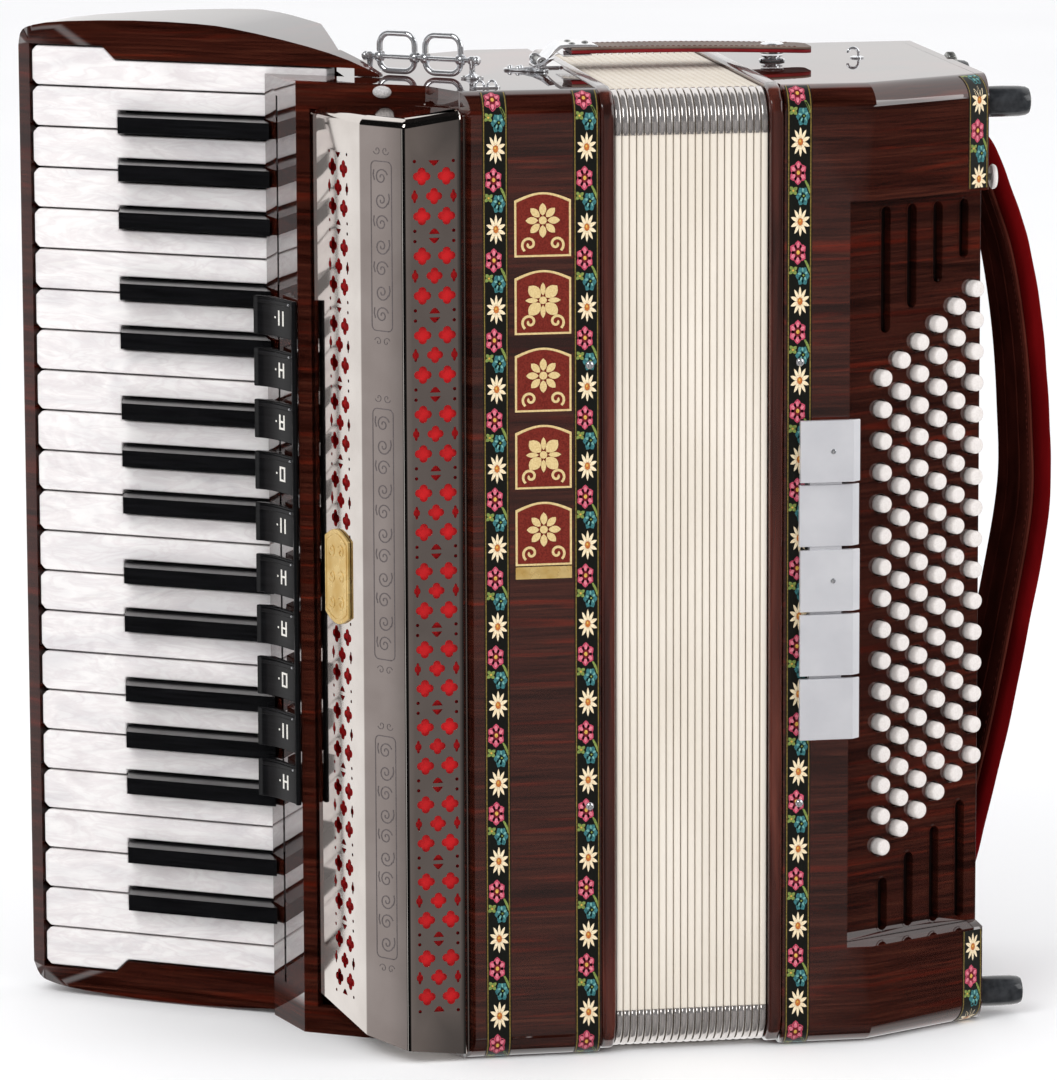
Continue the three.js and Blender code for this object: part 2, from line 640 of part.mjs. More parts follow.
function trebleCabinet() {
  const plan = treblePlan();
  const hollow = inset(plan, CABINET_WALL);
  const seam = PANEL_WIDTH - CABINET_WALL - WELD;
  const open = hollow.map(([x, y]) => [x > seam ? PANEL_WIDTH + OVERRUN : x, y]);
  const inner = upright(open, CABINET_END_WALL, CABINET_HEIGHT - CABINET_END_WALL);
  const window = upright(windowPlan(), FRAME_RAIL, CABINET_HEIGHT - FRAME_RAIL);
  const leverStart = -BED_REACH + CABINET_WALL;
  const leverEnd = -CABINET_WALL - CABINET_WALL;
  const leverRoom = [keyPoint(leverEnd, -OVERRUN), keyPoint(leverEnd, -leverEnd),
    keyPoint(leverStart, -leverEnd), keyPoint(leverStart, -OVERRUN)];
  const levers = upright(leverRoom, KEYS_LOW + CHEEK_OVERLAP, KEYS_HIGH - CHEEK_OVERLAP - FRAME_RAIL);
  return upright(plan, 0, CABINET_HEIGHT).subtract(inner).subtract(window).subtract(levers);
}

// Register tabs that swing together on one rod
function trebleRegisters() {
  const wallPoint = (share, gap) => {
    const set = WALL_TOP_SET + (WALL_FOOT_SET - WALL_TOP_SET) * share;
    const rise = WALL_TOP_RISE + (WALL_FOOT_RISE - WALL_TOP_RISE) * share;
    return keyPoint(-set + gap, rise);
  };
  const rod = keyPoint(-TAB_ROD_SET, TAB_ROD_RISE);
  const tip = keyPoint(-TAB_TIP_SET, TAB_TIP_RISE);
  const heel = keyPoint(-TAB_TIP_SET - TAB_TIP_THICKNESS / 2, TAB_TIP_RISE - TAB_TIP_THICKNESS);
  const tipShare = (WALL_TOP_RISE - TAB_TIP_RISE + TAB_TIP_THICKNESS) / (WALL_TOP_RISE - WALL_FOOT_RISE);
  const outline = [rod, tip, heel, wallPoint(tipShare, TAB_TIP_GAP), wallPoint(0, TAB_ROOT_GAP)];
  const ends = [TAB_FIRST_Z + TAB_HEIGHT / 2, TAB_FIRST_Z - (TAB_COUNT - 1) * TAB_PITCH - TAB_HEIGHT / 2];
  const length = ends[0] - ends[1] + WELD;
  const bar = new THREE.CylinderGeometry(TAB_ROD_RADIUS, TAB_ROD_RADIUS, length, BUTTON_SIDES);
  bar.rotateX(Math.PI / 2).translate(rod[0], rod[1], (ends[0] + ends[1]) / 2);
  const tabs = Array.from({ length: TAB_COUNT }, (_, i) => {
    const middle = TAB_FIRST_Z - i * TAB_PITCH;
    return upright(outline, middle - TAB_HEIGHT / 2, middle + TAB_HEIGHT / 2);
  });
  return joined(solidOf(bar), ...tabs);
}

// Plan of the grille pan, from its right edge over two folds to the frame behind it
function grillePlan() {
  const post = keyPoint(-WALL_TOP_SET, WALL_TOP_RISE);
  const slope = (post[1] - FRAME_BEND_Y) / (-FRAME_BEND_X - post[0]);
  const leftY = FRAME_BEND_Y + slope * (GRILLE_LEFT - FRAME_BEND_X) - GRILLE_FRAME_GAP;
  return [
    [-GRILLE_FOLD_RIGHT, 0], [-GRILLE_RIGHT, GRILLE_FRONT_SET],
    [-FRAME_BEND_X - GRILLE_FRAME_GAP, FRAME_BEND_Y - GRILLE_FRAME_GAP],
    [-GRILLE_LEFT, leftY], [-GRILLE_FOLD_LEFT, FRAME_BEND_Y * GRILLE_LEFT_FOLD_SHARE],
  ];
}

// A corner moved on by a reach, the way that one side runs
function beyond(from, to, corner, reach) {
  const way = new THREE.Vector2(to[0] - from[0], to[1] - from[1]).setLength(reach);
  return [corner[0] + way.x, corner[1] + way.y];
}

// Front view of the grille: its lower left corner is drawn up in a curve
function grilleElevation() {
  const width = GRILLE_LEFT - GRILLE_RIGHT;
  const bottom = grilleBottomShares
    .map(([run, lift]) => [-GRILLE_LEFT + run * width, GRILLE_BOTTOM_MARGIN + lift * GRILLE_BOTTOM_RISE]);
  const high = CABINET_HEIGHT - GRILLE_TOP_MARGIN;
  const low = high - GRILLE_TOP_DROP;
  return [...bottom, [-GRILLE_RIGHT, high], [-GRILLE_FOLD_RIGHT, low], [-GRILLE_LEFT, low]];
}

// Diamond holes in pairs over one flat of the grille, with a single one in every second gap
function facetHoles(from, to) {
  const along = new THREE.Vector3(to[0] - from[0], to[1] - from[1], 0);
  const width = along.length();
  along.normalize();
  const out = new THREE.Vector3(along.y, -along.x, 0);
  const frame = new THREE.Matrix4().makeBasis(along, new THREE.Vector3(0, 0, 1), out);
  frame.setPosition(from[0] - out.x * OVERRUN, from[1] - out.y * OVERRUN, 0);
  const half = HOLE_SIZE / 2;
  const diamond = (u, z) => {
    const outline = [[u, z - half], [u + half, z], [u, z + half], [u - half, z]];
    return extruded(outline, OVERRUN + OVERRUN, frame);
  };
  const holes = [];
  for (let row = 0; row < HOLE_ROWS; row++) {
    const z = CABINET_HEIGHT - HOLE_TOP_MARGIN - row * HOLE_PITCH;
    holes.push(diamond(width / 2 - HOLE_COLUMN_GAP / 2, z), diamond(width / 2 + HOLE_COLUMN_GAP / 2, z));
    if (row % 2 === 0 && row < HOLE_ROWS - 1) holes.push(diamond(width / 2, z - HOLE_PITCH / 2));
  }
  return holes;
}

function trebleGrille() {
  const plan = grillePlan();
  const body = (outline, front) => {
    const elevation = extruded(front, BODY_DEPTH + BODY_DEPTH, frontFrame(BODY_DEPTH));
    return upright(outline, -OVERRUN, CABINET_HEIGHT).intersect(elevation);
  };
  const hollow = inset(plan, GRILLE_SHEET);
  const reach = GRILLE_SHEET + OVERRUN;
  hollow[2] = beyond(plan[1], plan[2], hollow[2], reach);
  hollow[3] = beyond(plan[4], plan[3], hollow[3], reach);
  const pan = body(plan, grilleElevation()).subtract(body(hollow, inset(grilleElevation(), GRILLE_SHEET)));
  const holes = [...facetHoles(plan[0], plan[1]), ...facetHoles(plan[3], plan[4])];
  return pan.subtract(joined(...holes));
}

// Cloth that follows the inside of the grille's flats
function grilleCloth() {
  const plan = grillePlan();
  const outer = inset(plan, GRILLE_SHEET + CLOTH_SET);
  const inner = inset(plan, GRILLE_SHEET + CLOTH_SET + CLOTH_THICKNESS);
  const outline = [outer[3], outer[4], outer[0], outer[1], inner[1], inner[0], inner[4], inner[3]];
  const low = GRILLE_BOTTOM_MARGIN + GRILLE_BOTTOM_RISE + GRILLE_SHEET + SEAT_GAP;
  const high = CABINET_HEIGHT - GRILLE_TOP_MARGIN - GRILLE_TOP_DROP - GRILLE_SHEET - SEAT_GAP;
  return upright(outline, low, high);
}

function trebleReeds() {
  const low = CABINET_END_WALL + SEAT_GAP;
  const high = CABINET_HEIGHT - CABINET_END_WALL - SEAT_GAP;
  const front = CABINET_WALL + SEAT_GAP;
  const face = SOUNDBOARD_X + SOUNDBOARD_THICKNESS;
  const depth = BODY_DEPTH - SOUNDBOARD_MARGIN;
  const board = boxBetween([SOUNDBOARD_X, front, low], [face, front + depth, high]);
  const pitch = depth / REED_BLOCK_COUNT;
  const blocks = Array.from({ length: REED_BLOCK_COUNT }, (_, i) => {
    const middle = front + (i + 0.5) * pitch;
    return boxBetween(
      [face - WELD, middle - REED_BLOCK_WIDTH / 2, low + REED_BLOCK_MARGIN],
      [face + REED_BLOCK_HEIGHT, middle + REED_BLOCK_WIDTH / 2, high - REED_BLOCK_MARGIN],
    );
  });
  return joined(board, ...blocks);
}

function bellowsFrame(x) {
  const low = FRAME_LIFT;
  const high = CABINET_HEIGHT + FRAME_PROUD;
  const back = BODY_DEPTH + FRAME_PROUD;
  const outer = roundedRectangle(-FRAME_PROUD, low, back, high, FRAME_RADIUS, CORNER_STEPS);
  const margin = FRAME_BORE_MARGIN;
  const hole = rectangle(margin, margin, BODY_DEPTH - margin, CABINET_HEIGHT - margin);
  const bore = extruded(hole, FRAME_WIDTH + OVERRUN + OVERRUN, sideFrame(x - OVERRUN));
  return extruded(outer, FRAME_WIDTH, sideFrame(x)).subtract(bore);
}

// One section of the bellows, drawn in from its outline by a depth
function bellowsRing(x, depth) {
  const edge = BELLOWS_INSET + depth;
  const radius = Math.max(BELLOWS_RADIUS - depth, WELD);
  return roundedRectangle(edge, edge, BODY_DEPTH - edge, CABINET_HEIGHT - edge, radius, CORNER_STEPS)
    .map(([y, z]) => [x, y, z]);
}

function bellows() {
  const rings = [bellowsRing(BELLOWS_X, FOLD_VALLEY)];
  const slope = (FOLD_PITCH - FOLD_CREST) / 2;
  for (let fold = 0; fold < FOLD_COUNT; fold++) {
    const start = BELLOWS_X + fold * FOLD_PITCH;
    rings.push(bellowsRing(start + slope, 0), bellowsRing(start + slope + FOLD_CREST, 0));
    rings.push(bellowsRing(start + FOLD_PITCH, FOLD_VALLEY));
  }
  rings.push(bellowsRing(BELLOWS_X + BELLOWS_LENGTH, BELLOWS_WALL), bellowsRing(BELLOWS_X, BELLOWS_WALL));
  return loft(rings, true);
}

// How far back the chamfered front lies at x
function chamferY(x) {
  const run = (x - BASS_X - BASS_FLAT) / (BASS_WIDTH - BASS_FLAT);
  return Math.max(run, 0) * BASS_CHAMFER_DEPTH;
}

// Plan of the recess over the button board, or of the board's block behind it
function recessPlan(wall) {
  const far = END_X + OVERRUN;
  const left = RECESS_X - wall;
  const back = wall / Math.cos(BOARD_TURN);
  const depthAt = (x) => RECESS_STEP + (x - RECESS_X) * Math.tan(BOARD_TURN) + back;
  return [[left, -OVERRUN], [far, -OVERRUN], [far, depthAt(far)], [left, depthAt(left)]];
}

// Sound slots above and below the buttons, in step with their leaning rows
function boardSlots() {
  const slots = [];
  for (let i = 0; i < SLOT_COUNT; i++) {
    const middle = BOARD_LENGTH * (SLOT_FIRST_SHARE + i * SLOT_PITCH_SHARE);
    const left = middle - SLOT_WIDTH / 2;
    const high = RECESS_HIGH - SLOT_END_MARGIN;
    const low = RECESS_LOW + SLOT_END_MARGIN / 2;
    const upperEnd = high - RECESS_HEIGHT * (UPPER_SLOT_SHARE - i * SLOT_STAGGER_SHARE);
    const lowerEnd = low + RECESS_HEIGHT * (LOWER_SLOT_SHARE + i * SLOT_STAGGER_SHARE);
    const round = SLOT_WIDTH / 2 - WELD;
    const upper = roundedRectangle(left, upperEnd, left + SLOT_WIDTH, high, round, SLOT_CORNER_STEPS);
    const lower = roundedRectangle(left, low, left + SLOT_WIDTH, lowerEnd, round, SLOT_CORNER_STEPS);
    slots.push(boardCut(upper), boardCut(lower));
  }
  return joined(...slots);
}

function boardCut(outline) {
  const through = BOARD_THICKNESS + OVERRUN;
  return extruded(outline, through + OVERRUN, boardFrame(-through));
}

function buttonPlace(column, row) {
  const along = BOARD_LENGTH * (BUTTON_FIRST_SHARE + column * BUTTON_COLUMN_SHARE);
  const top = RECESS_HIGH - RECESS_HEIGHT * BUTTON_TOP_SHARE;
  return [along, top + column * BUTTON_COLUMN_RISE - row * BUTTON_ROW_PITCH];
}

// One upright strip behind a column of buttons, widened by a gap
function ribOutline(column, gap) {
  const [along, top] = buttonPlace(column, 0);
  const bottom = buttonPlace(column, BUTTON_ROWS - 1)[1];
  const half = RIB_WIDTH / 2 + gap;
  return rectangle(along - half, bottom - half, along + half, top + half);
}

// The bar that carries the bass register tabs, widened by a gap
function tabBarOutline(gap) {
  const left = BASS_TAB_LEFT + BASS_TAB_BAR_INSET - gap;
  const right = BASS_TAB_LEFT + BASS_TAB_WIDTH - BASS_TAB_BAR_INSET + gap;
  const half = BASS_TAB_HEIGHT / 2 - BASS_TAB_BAR_INSET + gap;
  const last = BASS_TAB_FIRST_Z - (BASS_TAB_COUNT - 1) * BASS_TAB_PITCH;
  return rectangle(left, last - half, right, BASS_TAB_FIRST_Z + half);
}

function bassCabinet() {
  const right = PLATE_INNER_X - SEAT_GAP;
  const middle = BASS_X + BASS_FLAT;
  const back = BODY_DEPTH;
  const plan = [[BASS_X, 0], [middle, 0], [right, chamferY(right)], [right, back], [BASS_X, back]];
  const seam = middle - CABINET_WALL;
  const open = inset(plan, CABINET_WALL).map(([x, y]) => [x < seam ? BASS_X - OVERRUN : x, y]);
  const wide = open.map(([x, y]) => [x > middle + CABINET_WALL ? right + OVERRUN : x, y]);
  wide[2][1] = chamferY(right + OVERRUN) + CABINET_WALL + SEAT_GAP;
  const wall = BOARD_THICKNESS;
  const board = upright(recessPlan(wall), RECESS_LOW - wall, RECESS_HIGH + wall);
  const inner = upright(wide, CABINET_END_WALL, CABINET_HEIGHT - CABINET_END_WALL).subtract(board);
  const recess = upright(recessPlan(0), RECESS_LOW, RECESS_HIGH);
  const ribs = Array.from({ length: BUTTON_COLUMNS }, (_, i) => boardCut(ribOutline(i, RUNNING_GAP)));
  const windowDepth = CABINET_WALL + OVERRUN;
  const tabOutline = tabBarOutline(RUNNING_GAP + SEAT_GAP);
  const tabWindow = extruded(tabOutline, windowDepth + OVERRUN, frontFrame(windowDepth));
  const wheelRoom = collarRoom(WHEEL_Y, wheelZ(), WHEEL_SHAFT_RADIUS, 0);
  const airRoom = collarRoom(AIR_BUTTON_Y, AIR_BUTTON_Z, AIR_STEM_RADIUS, AIR_BUTTON_TRAVEL);
  return upright(plan, 0, CABINET_HEIGHT).subtract(inner).subtract(recess)
    .subtract(joined(boardSlots(), ...ribs, tabWindow, wheelRoom, airRoom));
}

// The collar that keeps a stem or shaft behind the end plate
function collar(y, z, radius) {
  const back = PLATE_INNER_X - SEAT_GAP - COLLAR_WIDTH;
  return cylinderAlongX(back, y, z, radius + COLLAR_RISE, COLLAR_WIDTH, BUTTON_SIDES);
}

// Room for that collar in the cabinet, with the travel of what it is on
function collarRoom(y, z, radius, travel) {
  const deep = COLLAR_WIDTH + SEAT_GAP + SEAT_GAP + RUNNING_GAP + travel;
  const room = radius + COLLAR_RISE + RUNNING_GAP;
  return cylinderAlongX(PLATE_INNER_X - deep, y, z, room, deep + OVERRUN, BUTTON_SIDES);
}

function bassEndPlate() {
  const plan = [[PLATE_INNER_X, chamferY(PLATE_INNER_X)], [END_X, chamferY(END_X)],
    [END_X, BODY_DEPTH], [PLATE_INNER_X, BODY_DEPTH]];
  const recess = upright(recessPlan(0), RECESS_LOW, RECESS_HIGH);
  const start = PLATE_INNER_X - OVERRUN;
  const through = END_X + OVERRUN - start;
  const hole = (y, z, radius) => cylinderAlongX(start, y, z, radius, through, BUTTON_SIDES);
  const stems = footPlaces().map(([y, z]) => hole(y, z, FOOT_STEM_RADIUS + SEAT_GAP));
  const air = hole(AIR_BUTTON_Y, AIR_BUTTON_Z, AIR_STEM_RADIUS + SEAT_GAP);
  const wheel = hole(WHEEL_Y, wheelZ(), WHEEL_SHAFT_RADIUS + SEAT_GAP);
  return upright(plan, 0, CABINET_HEIGHT).subtract(joined(...stems, air, wheel)).subtract(recess);
}

function wheelZ() {
  return CABINET_HEIGHT + WHEEL_RISE - WHEEL_RADIUS;
}

function footLevels() {
  return [FOOT_LOW, CABINET_HEIGHT - FOOT_TOP_DROP];
}

function footPlaces() {
  return footLevels().flatMap((z) => [[FOOT_FRONT_Y, z], [FOOT_BACK_Y, z]]);
}

// Four feet whose stems meet on thin bars behind the end plate
function endFeet() {
  const back = PLATE_INNER_X - SEAT_GAP - FOOT_BAR_THICKNESS;
  const pieces = footPlaces().flatMap(([y, z]) => [
    cylinderAlongX(END_X + SEAT_GAP, y, z, FOOT_RADIUS, FOOT_LENGTH, FOOT_SIDES),
    cylinderAlongX(back + WELD, y, z, FOOT_STEM_RADIUS, END_X - back, BUTTON_SIDES),
  ]);
  const half = FOOT_BAR / 2;
  const front = back + FOOT_BAR_THICKNESS;
  for (const z of footLevels()) {
    pieces.push(boxBetween([back, FOOT_FRONT_Y - half, z - half], [front, FOOT_BACK_Y + half, z + half]));
  }
  const middle = (FOOT_FRONT_Y + FOOT_BACK_Y) / 2;
  pieces.push(boxBetween([back, middle - half, footLevels()[0]], [front, middle + half, footLevels()[1]]));
  return joined(...pieces);
}

function bassButtons() {
  const pieces = [];
  const sunk = -RIB_SUNK;
  const back = -BOARD_THICKNESS - CARRIER_DROP;
  for (let column = 0; column < BUTTON_COLUMNS; column++) {
    pieces.push(extruded(ribOutline(column, 0), sunk - back, boardFrame(back)));
    for (let row = 0; row < BUTTON_ROWS; row++) {
      pieces.push(button(buttonPlace(column, row)));
    }
  }
  const first = buttonPlace(0, BUTTON_ROWS - 1);
  const last = buttonPlace(BUTTON_COLUMNS - 1, 0);
  const lean = BUTTON_COLUMN_RISE * (BUTTON_COLUMNS - 1);
  const carrier = [
    [first[0] - BUTTON_NECK, first[1]], [last[0] + BUTTON_NECK, first[1] + lean],
    [last[0] + BUTTON_NECK, last[1]], [first[0] - BUTTON_NECK, last[1] - lean],
  ];
  pieces.push(extruded(carrier, CARRIER_THICKNESS, boardFrame(back - CARRIER_THICKNESS + WELD)));
  return joined(...pieces);
}

// A domed head on a narrow neck
function button([along, z]) {
  const profile = [
    [0, BUTTON_NECK], [BUTTON_RADIUS, BUTTON_NECK],
    [BUTTON_RADIUS, BUTTON_PROUD - BUTTON_DOME], [0, BUTTON_PROUD],
  ].map(([radius, out]) => new THREE.Vector2(radius, out));
  const geometry = new THREE.LatheGeometry(profile, BUTTON_SIDES);
  geometry.rotateX(Math.PI / 2).translate(along, z, 0).applyMatrix4(boardFrame(0));
  const half = RIB_WIDTH / 2;
  const foot = -RIB_SUNK - WELD;
  const neckOutline = rectangle(along - half, z - half, along + half, z + half);
  const neck = extruded(neckOutline, BUTTON_NECK + WELD - foot, boardFrame(foot));
  return joined(outward(solidOf(geometry), bareGeometry(geometry)), neck);
}

// Chrome tabs with one bevelled side, on a bar through the front wall
function bassRegisters() {
  const left = BASS_TAB_LEFT;
  const right = left + BASS_TAB_WIDTH;
  const pieces = [];
  for (let row = 0; row < BASS_TAB_COUNT; row++) {
    const front = -BASS_TAB_PROUD + (row === BASS_TAB_PRESSED_ROW ? BASS_TAB_PRESSED : 0);
    const back = front + BASS_TAB_THICKNESS;
    const outline = [[left, front], [right, front], [right + BASS_TAB_BEVEL, back], [left, back]];
    const middle = BASS_TAB_FIRST_Z - row * BASS_TAB_PITCH;
    pieces.push(upright(outline, middle - BASS_TAB_HEIGHT / 2, middle + BASS_TAB_HEIGHT / 2));
  }
  const barBack = -BASS_TAB_PROUD + BASS_TAB_THICKNESS - WELD + BASS_TAB_BAR_DEPTH;
  pieces.push(extruded(tabBarOutline(0), BASS_TAB_BAR_DEPTH, frontFrame(barBack)));
  return joined(...pieces);
}

// The strap's middle line: from the upper end out over the hand and back to the plate
function handStrap() {
  const height = HAND_STRAP_TOP - HAND_STRAP_BOTTOM;
  const start = END_X + SEAT_GAP;
  const curve = new THREE.SplineCurve(handStrapShares.map(([run, bulge]) => new THREE.Vector2(
    start + bulge * HAND_STRAP_BULGE, HAND_STRAP_TOP - run * height,
  )));
  const rings = Array.from({ length: HAND_STRAP_STEPS + 1 }, (_, i) => {
    const point = curve.getPoint(i / HAND_STRAP_STEPS);
    const tangent = curve.getTangent(i / HAND_STRAP_STEPS);
    if (i === 0) return strapRing(point, new THREE.Vector2(0, 1));
    if (i === HAND_STRAP_STEPS) return strapRing(point, new THREE.Vector2(0, -1));
    return strapRing(point, new THREE.Vector2(-tangent.y, tangent.x));
  });
  return loft(rings);
}

// A soft-edged band section across the strap at one point of its middle line, kept off the plate
function strapRing(point, out) {
  const middle = HAND_STRAP_FRONT_Y + HAND_STRAP_WIDTH / 2;
  const half = HAND_STRAP_THICKNESS / 2 - HAND_STRAP_SOFTNESS;
  return strapSectionShares.map(([across, thick]) => [
    Math.max(point.x + out.x * thick * half, END_X + SEAT_GAP),
    middle + across * HAND_STRAP_WIDTH / 2,
    point.y + out.y * thick * half,
  ]);
}

function strapWheel() {
  const outline = Array.from({ length: WHEEL_TEETH + WHEEL_TEETH }, (_, i) => {
    const radius = i % 2 ? WHEEL_RADIUS : WHEEL_RADIUS - WELD;
    const angle = (i / WHEEL_TEETH) * Math.PI;
    return [WHEEL_Y + radius * Math.cos(angle), wheelZ() + radius * Math.sin(angle)];
  });
  const disc = extruded(outline, WHEEL_WIDTH, sideFrame(END_X + SEAT_GAP));
  const back = PLATE_INNER_X - SEAT_GAP - COLLAR_WIDTH;
  const length = END_X + SEAT_GAP + SEAT_GAP - back;
  const shaft = cylinderAlongX(back, WHEEL_Y, wheelZ(), WHEEL_SHAFT_RADIUS, length, BUTTON_SIDES);
  return joined(disc, shaft, collar(WHEEL_Y, wheelZ(), WHEEL_SHAFT_RADIUS));
}

function airButton() {
  const headX = END_X + AIR_BUTTON_TRAVEL + SEAT_GAP;
  const y = AIR_BUTTON_Y;
  const z = AIR_BUTTON_Z;
  const head = cylinderAlongX(headX, y, z, AIR_BUTTON_RADIUS, AIR_BUTTON_HEAD, FOOT_SIDES);
  const back = PLATE_INNER_X - SEAT_GAP - COLLAR_WIDTH;
  const stem = cylinderAlongX(back, y, z, AIR_STEM_RADIUS, headX - back + WELD, BUTTON_SIDES);
  return joined(head, stem, collar(y, z, AIR_STEM_RADIUS));
}

// Leather strap over the bellows, with the stud at each end that holds it
function bellowsStrap() {
  const length = TIE_END - TIE_START;
  const lift = (run) => {
    const arch = Math.sin(run * Math.PI) * TIE_ARCH;
    return TIE_LEFT_LIFT + (TIE_RIGHT_LIFT - TIE_LEFT_LIFT) * run + arch;
  };
  const rings = Array.from({ length: TIE_STEPS + 1 }, (_, i) => {
    const run = i / TIE_STEPS;
    const low = CABINET_HEIGHT + lift(run);
    return rectangle(TIE_FRONT_Y, low, TIE_FRONT_Y + TIE_WIDTH, low + TIE_THICKNESS)
      .map(([y, z]) => [TIE_START + run * length, y, z]);
  });
  const middle = TIE_FRONT_Y + TIE_WIDTH / 2;
  const studs = [TIE_LEFT_STUD, TIE_RIGHT_STUD].map((run) => {
    const start = TIE_START + run;
    const high = CABINET_HEIGHT + lift(run / length) + TIE_THICKNESS / 2;
    const low = [start, middle - TIE_STUD / 2, CABINET_HEIGHT + SEAT_GAP];
    return boxBetween(low, [start + TIE_STUD, middle + TIE_STUD / 2, high]);
  });
  return joined(loft(rings), ...studs);
}

// Two posts and the rod between them, drawn along x and turned into place by their group
function shoulderBracket() {
  const rod = cylinderAlongX(0, 0, ROD_RISE, ROD_RADIUS, ROD_LENGTH, BUTTON_SIDES);
  const half = POST_SIZE / 2;
  const posts = [POST_INSET, ROD_LENGTH - POST_INSET].map((x) => boxBetween(
    [x - half, -half, SEAT_GAP], [x + half, half, ROD_RISE + half],
  ));
  return joined(rod, ...posts);
}

function shoulderLoop(index) {
  const middle = LOOP_FIRST + index * LOOP_SPACING;
  const half = LOOP_WIDTH / 2;
  const outer = roundedRectangle(-half, -LOOP_DOWN, half, LOOP_UP, LOOP_CORNER, CORNER_STEPS);
  const inner = roundedRectangle(
    -half + LOOP_WIRE, -LOOP_DOWN + LOOP_WIRE, half - LOOP_WIRE, LOOP_UP - LOOP_WIRE,
    LOOP_CORNER - LOOP_WIRE, CORNER_STEPS,
  );
  const place = new THREE.Matrix4().makeTranslation(middle, 0, ROD_RISE);
  const frame = frontFrame(LOOP_WIRE / 2).premultiply(place);
  const wide = frontFrame(LOOP_WIRE).premultiply(place);
  const ring = extruded(outer, LOOP_WIRE, frame).subtract(extruded(inner, LOOP_WIRE + LOOP_WIRE, wide));
  const bosses = [-half, half - LOOP_WIRE].map((side) => cylinderAlongX(
    middle + side, 0, ROD_RISE, LOOP_BOSS_RADIUS, LOOP_WIRE, BUTTON_SIDES,
  ));
  const bore = ROD_RADIUS + SEAT_GAP;
  const start = middle - LOOP_WIDTH;
  const hole = cylinderAlongX(start, 0, ROD_RISE, bore, LOOP_WIDTH + LOOP_WIDTH, BUTTON_SIDES);
  return joined(ring, ...bosses).subtract(hole);
}

function meshOf(name, solid, finish) {
  const material = new THREE.MeshStandardMaterial(finishes[finish]);
  const mesh = new THREE.Mesh(geometryOf(solid), material);
  mesh.name = name;
  return mesh;
}

function twoDigits(number) {
  return String(number).padStart(2, '0');
}

function keyboardGroup() {
  const group = new THREE.Group();
  group.add(meshOf('keyboard_bed', keyboardBed(), 'rosewood'), meshOf('key_axle', keyAxle(), 'steel'));
  for (let i = 0; i < WHITE_COUNT; i++) {
    group.add(meshOf(`white_key_${twoDigits(i + 1)}`, whiteKey(i), 'pearl'));
  }
  let count = 0;
  for (let border = 1; border < WHITE_COUNT; border++) {
    const centre = blackCentre(border);
    if (centre === null) continue;
    count += 1;
    group.add(meshOf(`black_key_${twoDigits(count)}`, blackKey(centre), 'ebony'));
  }
  return group;
}

function trebleGroup() {
  const group = new THREE.Group();
  group.add(
    meshOf('treble_cabinet', trebleCabinet(), 'rosewood'),
    meshOf('treble_registers', trebleRegisters(), 'ebony'),
    meshOf('treble_grille', trebleGrille(), 'blackMetal'),
    meshOf('grille_cloth', grilleCloth(), 'redCloth'),
    meshOf('treble_reed_blocks', trebleReeds(), 'spruce'),
  );
  return group;
}

function bellowsGroup() {
  const group = new THREE.Group();
  group.add(
    meshOf('bellows_frame_treble', bellowsFrame(TREBLE_FRAME_X), 'darkWood'),
    meshOf('bellows', bellows(), 'bellowsCloth'),
    meshOf('bellows_frame_bass', bellowsFrame(BASS_FRAME_X), 'darkWood'),
    meshOf('bellows_strap', bellowsStrap(), 'leather'),
  );
  return group;
}

function bassGroup() {
  const group = new THREE.Group();
  group.add(
    meshOf('bass_cabinet', bassCabinet(), 'rosewood'),
    meshOf('bass_end_plate', bassEndPlate(), 'rosewood'),
    meshOf('end_feet', endFeet(), 'rubber'),
    meshOf('bass_buttons', bassButtons(), 'pearl'),
    meshOf('bass_registers', bassRegisters(), 'chrome'),
    meshOf('hand_strap', handStrap(), 'velvet'),
    meshOf('strap_wheel', strapWheel(), 'ebony'),
    meshOf('air_button', airButton(), 'pearl'),
  );
  return group;
}

function bracketGroup() {
  const group = new THREE.Group();
  group.add(
    meshOf('shoulder_bracket', shoulderBracket(), 'chrome'),
    meshOf('shoulder_loop_left', shoulderLoop(0), 'chrome'),
    meshOf('shoulder_loop_right', shoulderLoop(1), 'chrome'),
  );
  group.position.set(BRACKET_X, KEYS_ROOT_Y - BRACKET_SET, CABINET_HEIGHT);
  group.rotation.z = BRACKET_TURN;
  return group;
}

const accordion = new THREE.Group();
accordion.name = 'piano_accordion';
accordion.add(keyboardGroup(), trebleGroup(), bellowsGroup(), bassGroup(), bracketGroup());

// The origin is under the middle of the whole instrument, on the surface it stands on
accordion.updateMatrixWorld(true);
const middle = new THREE.Box3().setFromObject(accordion, true).getCenter(new THREE.Vector3());
accordion.position.set(-middle.x, -middle.y, 0);
accordion.updateMatrixWorld(true);

export default accordion;
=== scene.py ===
"""Dresses a piano accordion: celluloid, pearl, metal, cloth and trims around its CAD frame."""
import math

import bmesh
import bpy
import numpy as np
from mathutils import Matrix, Vector
from mathutils.geometry import delaunay_2d_cdt


